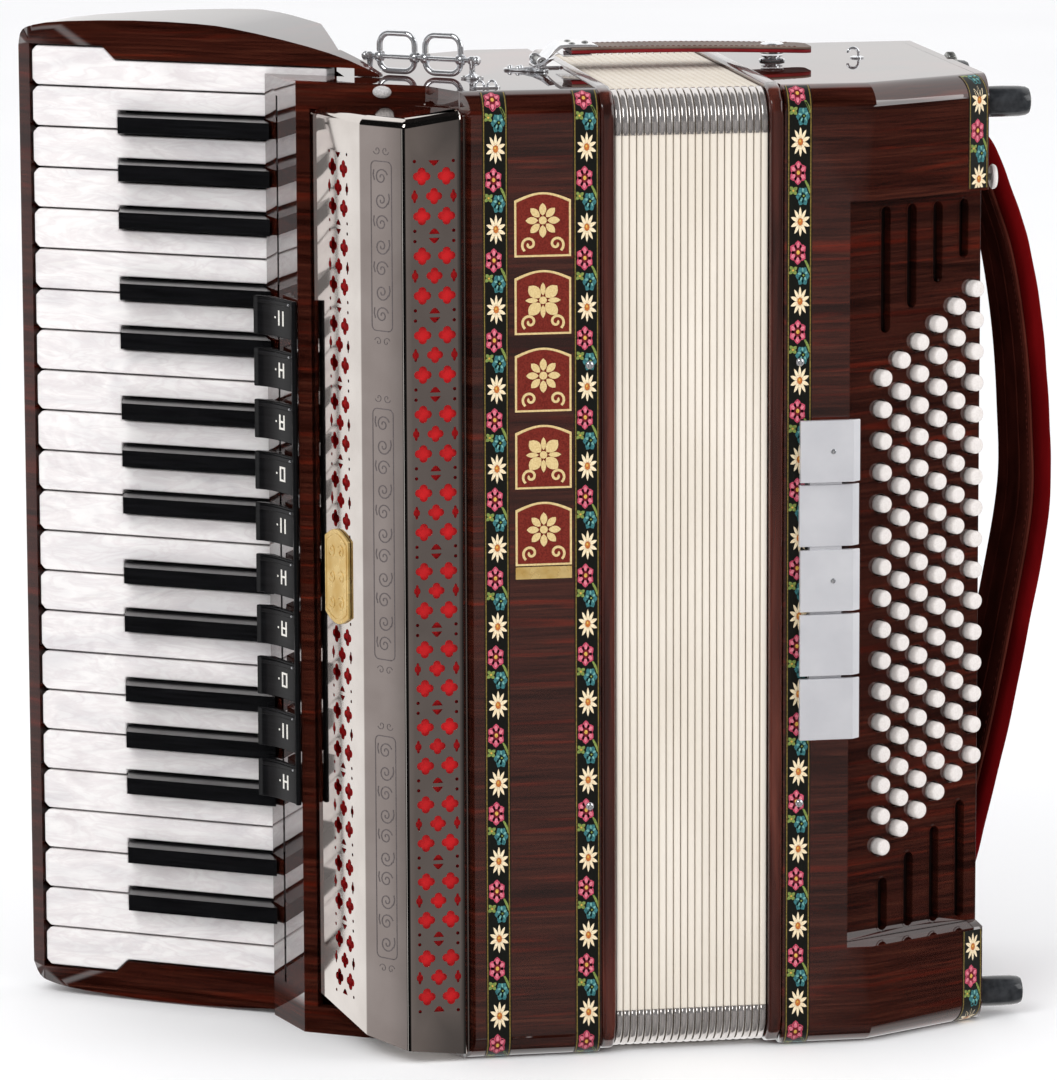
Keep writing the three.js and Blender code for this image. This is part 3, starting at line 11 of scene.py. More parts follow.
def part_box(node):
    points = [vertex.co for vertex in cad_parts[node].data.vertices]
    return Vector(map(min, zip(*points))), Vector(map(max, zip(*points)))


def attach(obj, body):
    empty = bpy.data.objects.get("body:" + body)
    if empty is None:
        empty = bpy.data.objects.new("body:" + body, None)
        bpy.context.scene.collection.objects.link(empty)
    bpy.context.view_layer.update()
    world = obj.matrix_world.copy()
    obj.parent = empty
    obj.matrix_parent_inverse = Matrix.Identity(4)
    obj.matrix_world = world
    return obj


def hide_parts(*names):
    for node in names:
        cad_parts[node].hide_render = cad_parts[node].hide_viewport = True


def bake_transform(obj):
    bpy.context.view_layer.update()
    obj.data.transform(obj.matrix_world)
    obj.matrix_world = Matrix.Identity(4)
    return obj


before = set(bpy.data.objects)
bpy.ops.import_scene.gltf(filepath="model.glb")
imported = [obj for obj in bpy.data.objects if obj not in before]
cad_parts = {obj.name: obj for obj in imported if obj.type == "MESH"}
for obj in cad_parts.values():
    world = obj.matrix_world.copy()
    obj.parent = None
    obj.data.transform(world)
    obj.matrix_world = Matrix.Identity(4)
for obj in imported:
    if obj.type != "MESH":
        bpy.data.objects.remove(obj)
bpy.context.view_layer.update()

# Sizes are in millimetres: x from the left edge of the front panel, y back from it, z up
MM = 0.001
PANEL_WIDTH = 56.5
CABINET_HEIGHT = 464.0
BODY_DEPTH = 200.0
cabinet_low, cabinet_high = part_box("treble_cabinet")
ORIGIN = np.array([cabinet_high.x - PANEL_WIDTH * MM, cabinet_low.y, cabinet_low.z])

# Keyboard: the plane of the keys turns away from the front. The glossy wall beside the keys is
# given by its foot and its top, as (along, out) on that plane
KEY_TILT = math.radians(32.2)
KEYS_ROOT = (-87.9, 112.0)
WALL_FOOT = (-2.2, 1.6)
WALL_TOP = (-30.0, 27.2)

# Bass side: a flat front, a chamfer, and a button board sunk into them
BASS_X = (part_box("bass_cabinet")[0].x - ORIGIN[0]) / MM
END_X = (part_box("bass_end_plate")[1].x - ORIGIN[0]) / MM
BASS_FLAT = 44.2
BASS_CHAMFER = 31.9
BOARD_TURN = math.radians(25.8)
BOARD_ROOT = (BASS_X + 31.7, 11.0)
RECESS = (48.0, 409.0)

# Front panels meet the ends of the cabinets in a wide round
EDGE_RADIUS = 11.5
EDGE_SEGMENTS = 10
CHAMFER_TURN = math.atan2(BASS_CHAMFER, END_X - BASS_X - BASS_FLAT)

# The camera of the photograph, whose frame is 1057 x 1080 pixels
CAMERA_PLACE = (-495.34, -3039.04, 794.33)
CAMERA_YAW = 0.168587
CAMERA_PITCH = -0.174104
CAMERA_ROLL = -0.003913
FOCAL_PIXELS = 6636.39
PHOTO_HEIGHT = 1080
SENSOR_MM = 36.0

# Half the side of the floor, in metres
FLOOR_REACH = 6.0


def metres(points):
    """Instrument millimetres to the frame's metres: times 0.001, plus the origin."""
    return np.asarray(points, float) * MM + ORIGIN


def stacked(*coordinates):
    return np.stack(np.broadcast_arrays(*[np.asarray(c, float) for c in coordinates]), -1)


def on_line(root, turn, along, up, out):
    """Point by an upright plane over a line in plan: root, plus along times the line's direction
    (cos turn, sin turn), plus out times its normal (sin turn, -cos turn)."""
    along, out = np.asarray(along, float), np.asarray(out, float)
    x = root[0] + along * math.cos(turn) + out * math.sin(turn)
    y = root[1] + along * math.sin(turn) - out * math.cos(turn)
    return stacked(x, y, up)


def on_keys(along, up, out):
    """Point on the key plane, which runs from its root to the left and back."""
    return on_line(KEYS_ROOT, -KEY_TILT, -np.asarray(along, float), up, out)


def on_board(along, up, out):
    """Point on the button board, which runs from its root to the right and back."""
    return on_line(BOARD_ROOT, BOARD_TURN, along, up, out)


def on_panel(panel, across, run, lift):
    """Point on a front panel, whose start and turn in plan are given. run is the height on its flat.

    Past the flat, run follows the wide round: angle = (run - start of round) / radius, and the point
    lies radius + lift from the round's centre."""
    start, turn = panel
    low, high = EDGE_RADIUS, CABINET_HEIGHT - EDGE_RADIUS
    run = np.asarray(run, float)
    angle = (np.minimum(run - low, 0) + np.maximum(run - high, 0)) / EDGE_RADIUS
    out = (EDGE_RADIUS + lift) * np.cos(angle) - EDGE_RADIUS
    up = np.clip(run, low, high) + (EDGE_RADIUS + lift) * np.sin(angle)
    return on_line(start, turn, across, up, out)


TREBLE_PANEL = ((0.0, 0.0), 0.0)
BASS_PANEL = ((BASS_X, 0.0), 0.0)
CHAMFER_PANEL = ((BASS_X + BASS_FLAT, 0.0), CHAMFER_TURN)


def smoothstep(t):
    """t squared times (3 - 2t), with t kept between 0 and 1."""
    t = np.clip(t, 0, 1)
    return t * t * (3 - 2 * t)


def round_angles(count, start=0.0):
    """Angles in even steps round a full turn."""
    return start + np.linspace(0, 2 * np.pi, count, endpoint=False)


# Meshes

def grid_faces(rows, columns, wrap_rows=False, wrap_columns=True):
    """Quads between neighbouring points of a grid: (r, c), (r, c+1), (r+1, c+1), (r+1, c)."""
    r = np.arange(rows if wrap_rows else rows - 1)[:, None]
    c = np.arange(columns if wrap_columns else columns - 1)[None, :]
    r2, c2 = (r + 1) % rows, (c + 1) % columns
    corners = [r * columns + c, r * columns + c2, r2 * columns + c2, r2 * columns + c]
    return np.stack([np.broadcast_to(k, (r.size, c.size)) for k in corners], -1).reshape(-1, 4)


def lofted(rings, caps=True, wrap_rows=False):
    """Rings of equal count joined by quads, with a flat face on each end or wrapped into a loop."""
    rings = np.asarray(rings, float)
    rows, columns = rings.shape[:2]
    faces = grid_faces(rows, columns, wrap_rows).tolist()
    if caps and not wrap_rows:
        faces.append(list(range(columns))[::-1])
        faces.append(list(range((rows - 1) * columns, rows * columns)))
    return rings.reshape(-1, 3), faces


def merged(*parts):
    """Several (points, faces) in one, with the face numbers moved up by the points before them."""
    points, faces, count = [], [], 0
    for part_points, part_faces in parts:
        points.append(part_points)
        faces += [[index + count for index in face] for face in part_faces]
        count += len(part_points)
    return np.concatenate(points), faces


def outward(mesh):
    work = bmesh.new()
    work.from_mesh(mesh)
    bmesh.ops.remove_doubles(work, verts=work.verts, dist=1e-7)
    bmesh.ops.recalc_face_normals(work, faces=work.faces)
    work.to_mesh(mesh)
    work.free()


def add_piece(name, shape, material, body, replaced=(), sharp=35, face_slots=None):
    """A new piece from (points in millimetres, faces) that rides on one body."""
    points, faces = shape
    mesh = bpy.data.meshes.new(name)
    mesh.from_pydata(metres(points).tolist(), [], faces)
    materials = material if isinstance(material, (list, tuple)) else [material]
    for entry in materials:
        mesh.materials.append(entry)
    if face_slots is not None:
        mesh.polygons.foreach_set("material_index", np.asarray(face_slots, np.int32))
    outward(mesh)
    return finish_piece(bpy.data.objects.new(name, mesh), body, replaced, sharp)


def finish_piece(piece, body, replaced=(), sharp=35):
    bpy.context.scene.collection.objects.link(piece)
    piece.data.polygons.foreach_set("use_smooth", np.ones(len(piece.data.polygons), bool))
    piece.data.set_sharp_from_angle(angle=math.radians(sharp))
    if body:
        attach(piece, body)
    if replaced:
        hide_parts(*replaced)
    return piece


def face_towards(piece, facing, chosen=None):
    """Turns round each chosen face that looks away from facing(its middle), a direction."""
    work = bmesh.new()
    work.from_mesh(piece.data)
    for face in work.faces:
        if chosen is None or chosen(face):
            if face.normal.dot(facing(face.calc_center_median())) < 0:
                face.normal_flip()
    work.to_mesh(piece.data)
    work.free()


def face_out(piece, turn, chosen=None):
    """Turns round each chosen face that looks into an upright plane, whose line in plan has this turn."""
    out = Vector((math.sin(turn), -math.cos(turn), 0))
    face_towards(piece, lambda place: out, chosen)


def bevelled(piece, width, segments=2, angle=40):
    bevel = piece.modifiers.new("edges", "BEVEL")
    bevel.width = width * MM
    bevel.segments = segments
    bevel.limit_method = "ANGLE"
    bevel.angle_limit = math.radians(angle)
    bevel.harden_normals = True


def thickened(piece, thickness):
    """Gives an open piece a wall on the inner side of its faces."""
    solid = piece.modifiers.new("thickness", "SOLIDIFY")
    solid.thickness = thickness * MM
    solid.offset = -1.0


def rounded_copy(node, name, radius, material, body, shortest=4.0, segments=3, angle=28, wide=None,
                 carve=None):
    """A copy of a CAD node: triangles merged, flats joined, its long sharp edges rounded.

    Edges shorter than shortest stay sharp. wide picks edges, from their two ends in millimetres, that
    get the panels' large radius first; carve is a mesh that is cut out of the copy before that."""
    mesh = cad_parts[node].data.copy()
    mesh.name = name
    if carve:
        mesh = carved(mesh, carve)
    work = bmesh.new()
    work.from_mesh(mesh)
    bmesh.ops.remove_doubles(work, verts=work.verts, dist=1e-6)
    bmesh.ops.dissolve_limit(work, angle_limit=math.radians(0.6), verts=work.verts, edges=work.edges)
    if wide:
        chosen = [edge for edge in work.edges
                  if wide(*[(np.array(vert.co) - ORIGIN) / MM for vert in edge.verts])]
        round_edges(work, chosen, EDGE_RADIUS, EDGE_SEGMENTS)
    sharp = [edge for edge in work.edges if len(edge.link_faces) == 2
             and edge.calc_length() > shortest * MM and edge.calc_face_angle(0) > math.radians(angle)]
    round_edges(work, sharp, radius, segments)
    bmesh.ops.triangulate(work, faces=[face for face in work.faces if len(face.verts) > 4])
    work.to_mesh(mesh)
    work.free()
    mesh.materials.clear()
    mesh.materials.append(material)
    piece = finish_piece(bpy.data.objects.new(name, mesh), body, (node,), 35)
    weighed = piece.modifiers.new("flat_shading", "WEIGHTED_NORMAL")
    weighed.weight = 90
    weighed.keep_sharp = True
    return piece


def round_edges(work, edges, radius, segments):
    bmesh.ops.bevel(work, geom=edges, offset=radius * MM, offset_type="OFFSET", segments=segments,
                    profile=0.5, affect="EDGES", clamp_overlap=True, material=-1)


def carved(mesh, shape):
    """The mesh minus a closed shape, by an exact Boolean."""
    points, faces = shape
    cutter_mesh = bpy.data.meshes.new("cutter")
    cutter_mesh.from_pydata(metres(points).tolist(), [], faces)
    outward(cutter_mesh)
    cutter = bpy.data.objects.new("cutter", cutter_mesh)
    body = bpy.data.objects.new("uncut", mesh)
    for entry in (cutter, body):
        bpy.context.scene.collection.objects.link(entry)
    cut = body.modifiers.new("cut", "BOOLEAN")
    cut.operation = "DIFFERENCE"
    cut.solver = "EXACT"
    cut.object = cutter
    evaluated = body.evaluated_get(bpy.context.evaluated_depsgraph_get())
    result = bpy.data.meshes.new_from_object(evaluated)
    result.name = mesh.name
    for entry in (cutter, body):
        bpy.data.objects.remove(entry)
    return result


def dress_node(node, material):
    """Gives a CAD node that stays in view its own finish."""
    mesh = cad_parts[node].data
    mesh.materials.clear()
    mesh.materials.append(material)


# Plane outlines

def rounded_outline(left, low, right, high, radius, steps=6):
    """A rectangle whose corners are quarter circles, anticlockwise from the lower right."""
    quarter = np.linspace(0, np.pi / 2, steps + 1)
    corners = [(right - radius, low + radius, -1), (right - radius, high - radius, 0),
               (left + radius, high - radius, 1), (left + radius, low + radius, 2)]
    arcs = [np.stack([x + radius * np.cos(quarter + turn * np.pi / 2),
                      y + radius * np.sin(quarter + turn * np.pi / 2)], -1) for x, y, turn in corners]
    return np.concatenate(arcs)


def pierced(outline, holes, lines=()):
    """Flat triangles inside an outline and outside each hole, by a constrained Delaunay triangulation.

    lines are extra cuts, each from one point to another, along which the sheet can be folded."""
    loops = [np.asarray(outline, float)] + [np.asarray(hole, float) for hole in holes]
    points, edges, rounds = [], [], []
    for loop in loops:
        first = len(points)
        points += [Vector(point) for point in loop.tolist()]
        edges += [(first + i, first + (i + 1) % len(loop)) for i in range(len(loop))]
        rounds.append(list(range(first, len(points))))
    for start, end in lines:
        edges.append((len(points), len(points) + 1))
        points += [Vector(start), Vector(end)]
    found, _, faces, _, _, origin = delaunay_2d_cdt(points, edges, rounds, 1, 1e-5)
    kept = [list(face) for face, source in zip(faces, origin) if list(source) == [0]]
    return np.array([[p.x, p.y] for p in found]), kept


def rectangle(left, low, right, high):
    return np.array([(left, low), (right, low), (right, high), (left, high)], float)


def looped(outline):
    """A line that runs round the outline and a step further, so that a stroke along it closes."""
    return np.concatenate([outline, outline[:2]])


def disc(centre, radius, sides=16, squash=1.0):
    """Points on an ellipse: centre plus radius times (cos, squash times sin)."""
    angle = round_angles(sides)
    return np.stack([centre[0] + radius * np.cos(angle), centre[1] + radius * squash * np.sin(angle)], -1)


def plate(outline, heights):
    """A plan outline carried up from one height to the next."""
    outline = np.asarray(outline, float)
    return lofted([stacked(outline[:, 0], outline[:, 1], z) for z in heights])


def crossbar(outline, sides):
    """An outline seen from the front, (x, z), carried back from one y to another."""
    outline = np.asarray(outline, float)
    return lofted([stacked(outline[:, 0], y, outline[:, 1]) for y in sides])


def turned(profile, sides, place):
    """A round piece: (radius, height) turned about an axis; place maps (across, up, out) to a point."""
    profile = np.asarray(profile, float)
    across = profile[:, :1] * np.cos(round_angles(sides))
    up = profile[:, :1] * np.sin(round_angles(sides))
    out = np.broadcast_to(profile[:, 1:], across.shape)
    return lofted(place(across, up, out))


def at_front(x, y, z):
    """Places a turned piece whose axis runs out to the front."""
    return lambda across, up, out: stacked(x + across, y - out, z + up)


def upright_at(x, y, z):
    """Places a turned piece whose axis stands up."""
    return lambda across, up, out: stacked(x + across, y + up, z + out)


# Materials

def linear(code):
    """A colour written as six hex digits, in linear light."""
    channels = np.array([int(code[i:i + 2], 16) for i in (0, 2, 4)]) / 255
    curve = ((channels + 0.055) / 1.055) ** 2.4
    return tuple(np.where(channels <= 0.04045, channels / 12.92, curve)) + (1.0,)


class Nodes:
    """Short ways to add texture and colour nodes to a node tree."""

    def __init__(self, tree):
        self.tree = tree

    def node(self, kind, inputs=None, **settings):
        node = self.tree.nodes.new(kind)
        for key, value in settings.items():
            setattr(node, key, value)
        for socket, value in (inputs or {}).items():
            if isinstance(value, bpy.types.NodeSocket):
                self.tree.links.new(value, node.inputs[socket])
            else:
                node.inputs[socket].default_value = value
        return node

    def ramp(self, factor, stops):
        node = self.node("ShaderNodeValToRGB", {"Fac": factor})
        elements = node.color_ramp.elements
        while len(elements) < len(stops):
            elements.new(0.5)
        for element, (place, colour) in zip(elements, stops):
            element.position = place
            element.color = linear(colour)
        return node.outputs["Color"]

    def level(self, factor, low, high, start=0.0, end=1.0):
        inputs = {"Value": factor, "From Min": start, "From Max": end, "To Min": low, "To Max": high}
        return self.node("ShaderNodeMapRange", inputs).outputs["Result"]

    def blend(self, factor, first, second, mode="MIX"):
        node = self.node("ShaderNodeMix", data_type="RGBA", blend_type=mode)
        for index, value in ((0, factor), (6, first), (7, second)):
            if isinstance(value, bpy.types.NodeSocket):
                self.tree.links.new(value, node.inputs[index])
            else:
                node.inputs[index].default_value = value
        return node.outputs[2]


class Finish(Nodes):
    """A node material with one shader, whose sockets textures can drive."""

    def __init__(self, name, colour, roughness, **sockets):
        self.material = bpy.data.materials.new(name)
        self.material.use_nodes = True
        super().__init__(self.material.node_tree)
        self.shader = self.tree.nodes["Principled BSDF"]
        self.shader.inputs["Base Color"].default_value = linear(colour)
        self.shader.inputs["Roughness"].default_value = roughness
        for socket, value in sockets.items():
            self.shader.inputs[socket.replace("_", " ")].default_value = value

    def coordinates(self, scale, turn=(0, 0, 0)):
        source = self.node("ShaderNodeTexCoord").outputs["Object"]
        return self.node("ShaderNodeMapping", {"Vector": source, "Scale": scale, "Rotation": turn}).outputs[0]

    def grain(self, scale, detail, distortion=0.0, rough=0.5, turn=(0, 0, 0)):
        """Noise over the piece, with its own scale along each axis."""
        inputs = {"Vector": self.coordinates(scale, turn), "Scale": 1.0, "Detail": detail,
                  "Distortion": distortion, "Roughness": rough}
        return self.node("ShaderNodeTexNoise", inputs).outputs["Fac"]

    def colour(self, output):
        self.tree.links.new(output, self.shader.inputs["Base Color"])

    def roughness(self, output):
        self.tree.links.new(output, self.shader.inputs["Roughness"])

    def coat(self, output):
        self.tree.links.new(output, self.shader.inputs["Coat Weight"])

    def relief(self, height, distance, strength=1.0):
        bump = self.node("ShaderNodeBump", {"Height": height, "Distance": distance, "Strength": strength})
        self.tree.links.new(bump.outputs["Normal"], self.shader.inputs["Normal"])


def celluloid(name="rosewood_celluloid", mirror=1.9, worn_foot=None):
    """Rosewood grain under a clear coat: fine level streaks, broad darker bands, a slow red flame.

    mirror is the coat's index of refraction: the higher, the more the surface mirrors. Between the
    two heights of worn_foot, in metres, the coat thins out downwards."""
    finish = Finish(name, "34150e", 0.5, Specular_IOR_Level=0.0, Coat_Weight=1.0, Coat_Roughness=0.015,
                    Coat_IOR=mirror)
    streaks = finish.grain((22.0, 22.0, 820.0), 6.0, 0.7, 0.6)
    bands = finish.grain((5.0, 5.0, 95.0), 4.0, 0.8)
    flames = finish.grain((9.0, 9.0, 210.0), 5.0, 0.9, turn=(0.0, 0.06, 0.0))
    fine = finish.ramp(streaks, [(0.3, "200b07"), (0.45, "30130d"), (0.56, "3a1911"), (0.7, "472318")])
    red = finish.blend(finish.level(flames, 0.0, 0.6, 0.54, 0.76), fine, linear("70200f"))
    broad = finish.ramp(bands, [(0.34, "a79d99"), (0.5, "ffffff"), (0.68, "cdc0bb")])
    finish.colour(finish.blend(1.0, red, broad, "MULTIPLY"))
    finish.roughness(finish.level(streaks, 0.45, 0.6))
    if worn_foot:
        place = finish.node("ShaderNodeSeparateXYZ", {"Vector": finish.coordinates((1.0, 1.0, 1.0))})
        finish.coat(finish.level(place.outputs["Z"], 0.12, 1.0, *worn_foot))
    return finish.material


def pearl():
    """White marbled celluloid: a warped noise picks soft grey and cream clouds under a clear coat.

    The clouds are drawn out along the keys."""
    finish = Finish("white_pearl", "e2dddb", 0.4, Specular_IOR_Level=0.1, Coat_Weight=0.8,
                    Coat_Roughness=0.04)
    clouds = finish.grain((11.0, 20.0, 42.0), 4.0, 1.6, 0.55)
    threads = finish.grain((30.0, 60.0, 160.0), 5.0, 1.2, 0.55, (0.3, 0.1, 0.0))
    milk = finish.ramp(clouds, [(0.3, "d9d6d6"), (0.42, "e2dfde"), (0.55, "ece9e7"), (0.68, "dedad9"),
                                (0.76, "e8e4df")])
    strands = finish.ramp(threads, [(0.4, "ffffff"), (0.5, "f6f3f4"), (0.6, "ffffff")])
    finish.colour(finish.blend(1.0, milk, strands, "MULTIPLY"))
    finish.roughness(finish.level(clouds, 0.3, 0.5))
    return finish.material


def ebony(name="black_gloss", coat=1.0):
    """Black gloss with faint hairlines in its tone and roughness."""
    finish = Finish(name, "0b0b0d", 0.3, Specular_IOR_Level=0.05, Coat_Weight=coat, Coat_Roughness=0.02)
    hairs = finish.grain((40.0, 40.0, 900.0), 3.0)
    finish.colour(finish.ramp(hairs, [(0.3, "070708"), (0.7, "121214")]))
    finish.roughness(finish.level(hairs, 0.25, 0.4))
    return finish.material


def metal(name, colour, darker, roughness, scale=120.0, purity=1.0):
    """Polished metal: its tone and roughness drift a little over the surface. Less pure is milkier."""
    finish = Finish(name, colour, roughness, Metallic=purity)
    drift = finish.grain((scale, scale, scale), 3.0)
    finish.colour(finish.ramp(drift, [(0.3, darker), (0.7, colour)]))
    finish.roughness(finish.level(drift, roughness * 0.8, roughness * 1.3))
    return finish.material


def woven(name, colour, darker, pitch, roughness=0.8, sheen=0.2):
    """Plain weave: two crossed waves mix the tones and raise the threads, one to each 0.63 of the pitch."""
    finish = Finish(name, colour, roughness, Sheen_Weight=sheen)
    turns = 1.0 / (pitch * MM)
    place = finish.coordinates((turns, turns, turns))
    wave = {"Vector": place, "Scale": 0.5, "Distortion": 0.2}
    warp, weft = [finish.node("ShaderNodeTexWave", wave, bands_direction=axis).outputs["Color"]
                  for axis in ("X", "Z")]
    threads = finish.blend(1.0, warp, weft, "MULTIPLY")
    patches = finish.grain((60.0, 60.0, 60.0), 3.0)
    tone = finish.blend(finish.level(patches, 0.15, 0.5), threads, patches)
    finish.colour(finish.ramp(tone, [(0.15, darker), (0.6, colour)]))
    finish.relief(threads, pitch * MM * 0.2, 0.5)
    return finish.material


def lacquer():
    """Dark stained wood with long grain upwards, under lacquer."""
    finish = Finish("dark_wood", "2c100c", 0.2, Coat_Weight=0.8, Coat_Roughness=0.04)
    grain = finish.grain((160.0, 160.0, 9.0), 5.0, 0.4)
    finish.colour(finish.ramp(grain, [(0.35, "26100c"), (0.55, "451d15"), (0.72, "5e2c20")]))
    finish.roughness(finish.level(grain, 0.16, 0.3))
    return finish.material


def leather(name, colour, darker, gloss=0.15):
    """Grained leather: small cells for the grain, a slow noise for worn tone."""
    finish = Finish(name, colour, 0.5, Specular_IOR_Level=gloss)
    place = finish.coordinates((1.0, 1.0, 1.0))
    cells = finish.node("ShaderNodeTexVoronoi", {"Vector": place, "Scale": 900.0})
    wear = finish.grain((35.0, 35.0, 35.0), 4.0)
    finish.colour(finish.ramp(wear, [(0.3, darker), (0.7, colour)]))
    finish.roughness(finish.level(wear, 0.4, 0.6))
    finish.relief(cells.outputs["Distance"], 0.0002, 0.6)
    return finish.material


def velvet():
    """Short pile: deep red, a little lighter at a grazing look, brushed in soft patches."""
    finish = Finish("red_velvet", "5a080b", 0.9, Specular_IOR_Level=0.0, Sheen_Weight=0.2,
                    Sheen_Roughness=0.4, Sheen_Tint=linear("c8281e"))
    brushed = finish.grain((24.0, 24.0, 9.0), 4.0, 0.8)
    pile = finish.grain((2600.0, 2600.0, 2600.0), 2.0)
    finish.colour(finish.ramp(brushed, [(0.3, "3a0406"), (0.58, "58080a"), (0.75, "6e0d10")]))
    finish.relief(pile, 0.00015, 0.7)
    return finish.material


def rubber():
    """Dull black rubber with a fine dusty mottle."""
    finish = Finish("black_rubber", "1a1b1d", 0.4, Specular_IOR_Level=0.2, Coat_Weight=0.7,
                    Coat_Roughness=0.12)
    dust = finish.grain((300.0, 300.0, 300.0), 4.0)
    finish.colour(finish.ramp(dust, [(0.35, "232528"), (0.7, "37393c")]))
    finish.roughness(finish.level(dust, 0.28, 0.45))
    finish.relief(dust, 0.0001, 0.4)
    return finish.material


def bellows_cloth():
    """Cream coated cloth: a fine grain in relief, greyer clouds, and a painted shade line deep in each gap,
    where the folds shade each other.

    The piece's own "gap" values, 0 on a crest and 1 in a gap, place the painted shade lines."""
    finish = Finish("bellows_cloth", "dad2c5", 0.7, Specular_IOR_Level=0.1)
    grain = finish.grain((900.0, 900.0, 900.0), 3.0)
    clouds = finish.grain((20.0, 20.0, 8.0), 3.0)
    cloth = finish.ramp(clouds, [(0.3, "d3cabc"), (0.65, "ded6ca")])
    gap = finish.node("ShaderNodeAttribute", attribute_name="gap").outputs["Fac"]
    # Painted shade: the cloth darkens towards 756a5a deep in each gap between the folds.
    finish.colour(finish.blend(finish.level(gap, 0.0, 0.9, 0.25, 0.85), cloth, linear("756a5a")))
    finish.relief(grain, 0.00008, 0.5)
    return finish.material


def painted(name, colour, darker, roughness=0.45, sheen=0.0):
    """A plain dye or paint with a thread-fine mottle."""
    finish = Finish(name, colour, roughness, Specular_IOR_Level=0.25, Sheen_Weight=sheen)
    mottle = finish.grain((1400.0, 1400.0, 1400.0), 2.0)
    finish.colour(finish.ramp(mottle, [(0.35, darker), (0.65, colour)]))
    finish.relief(mottle, 0.00006, 0.5)
    return finish.material


ROSEWOOD = celluloid()
MIRROR_ROSEWOOD = celluloid("rosewood_mirror", 6.0, (0.012, 0.021))
PEARL = pearl()
EBONY = ebony()
CHROME = metal("chrome", "f0f1f3", "e2e4e8", 0.06, 120.0, 0.82)
FOLD_METAL = metal("fold_metal", "e8e3e0", "cdc7c3", 0.1, 120.0, 0.8)
STEEL = metal("steel", "a9a9a6", "90908d", 0.32)
NICKEL = metal("dark_nickel", "ddd6d0", "cfc7c1", 0.05, 40.0)
GOLD = metal("gold_trim", "e6c887", "cda75c", 0.25, 120.0, 0.5)
CLOTH = bellows_cloth()
RED_CLOTH = woven("red_cloth", "fb0c16", "b4060e", 0.6, 0.8, 0.0)
DARK_WOOD = lacquer()
VELVET = velvet()
STRAP_LEATHER = leather("strap_leather", "5c2a22", "3c1a14", 0.0)
TIE_LEATHER = leather("tie_leather", "7d6c61", "5d4c43")
RED_EDGE = leather("red_edge", "8a1c22", "6a1216")
RUBBER = rubber()
BLACK_GLOSS = ebony("tab_gloss", 0.4)
ENGRAVED = painted("engraved_lines", "635b5b", "564f4f", 0.5)
GAUZE = woven("black_gauze", "16110f", "060505", 0.8, 0.9, 0.0)
CREAM = painted("cream_inlay", "d3bd88", "c3a873", 0.4)
BRICK = painted("brick_inlay", "74271d", "5e1c15", 0.25)
WHITE_PAINT = painted("white_paint", "ece9e2", "d4d0c8", 0.5)
SATIN_CHROME = metal("satin_chrome", "d9d9dc", "cfcfd3", 0.22, 60.0, 0.35)
THREAD = painted("waxed_thread", "6e2a20", "4e1a14", 0.6)
STONE = painted("grey_stone", "c9c6c4", "a5a2a1", 0.2)
BUTTON_PEARL = painted("button_pearl", "e2dcd8", "d4cdc8", 0.25)
RIBBON_TONES = {
    "black": ("11130c", "0a0b07"), "olive": ("84702f", "5d4e20"), "pink": ("c04a63", "9d3249"),
    "rose": ("d67b88", "bf5c6e"), "crimson": ("74101f", "560a16"), "yellow": ("d6ab4e", "b98d38"),
    "leaf": ("808f46", "5f7033"), "teal": ("38777a", "245558"), "mint": ("74a9a1", "528a84"),
    "cream": ("ebdcbc", "d6bf98"), "ochre": ("c07030", "a0561f")}
RIBBON_DYES = [painted("ribbon_" + name, *tones, 0.4, 0.1) for name, tones in RIBBON_TONES.items()]
RIBBON_COLOURS = tuple(RIBBON_TONES)


# Camera, light and floor

# Greys of the mirrored cards, at shares of a turn that starts and ends at the left
STUDIO_RING = ((0.0, "a39d9d"), (0.02, "5c5858"), (0.05, "1c1c1c"), (0.058, "ffffff"), (0.066, "ffffff"),
               (0.075, "080808"), (0.2, "181818"), (0.24, "7a7472"), (0.28, "726c6a"), (0.3, "5a5655"),
               (0.36, "484544"), (0.39, "2c2c2c"), (0.46, "2c2c2c"), (0.5, "d8d6d4"), (0.6, "f0eeed"),
               (0.7, "fdfbfa"), (0.8, "ffffff"), (0.87, "ffffff"), (0.95, "b4b0b0"), (1.0, "a39d9d"))
CEILING_RING = ((0.0, "101010"), (0.41, "141414"), (0.44, "ffffff"), (0.88, "ffffff"), (0.92, "101010"),
                (1.0, "101010"))
# Heights of the direction, as sines, at which the lamps take over from the cards, and the dark middle
CEILING_STARTS = (0.1, 0.18)
MIDDLE_STARTS = (0.86, 0.94)


def set_camera():
    """The photograph's camera: forward from yaw and pitch, turned by roll about it."""
    yaw, pitch, roll = CAMERA_YAW, CAMERA_PITCH, CAMERA_ROLL
    forward = np.array([math.sin(yaw) * math.cos(pitch), math.cos(yaw) * math.cos(pitch), math.sin(pitch)])
    right = np.array([math.cos(yaw), -math.sin(yaw), 0.0])
    up = np.cross(right, forward)
    rolled_right = math.cos(roll) * right + math.sin(roll) * up
    rolled_up = -math.sin(roll) * right + math.cos(roll) * up
    data = bpy.data.cameras.new("photo_camera")
    data.sensor_fit = "AUTO"
    data.sensor_width = SENSOR_MM
    data.lens = FOCAL_PIXELS / PHOTO_HEIGHT * SENSOR_MM
    data.clip_start = 0.05
    data.clip_end = 50
    camera = bpy.data.objects.new("photo_camera", data)
    turn = Matrix(np.column_stack([rolled_right, rolled_up, -forward]).tolist()).to_4x4()
    camera.matrix_world = Matrix.Translation(metres(CAMERA_PLACE)) @ turn
    bpy.context.scene.collection.objects.link(camera)
    bpy.context.scene.camera = camera


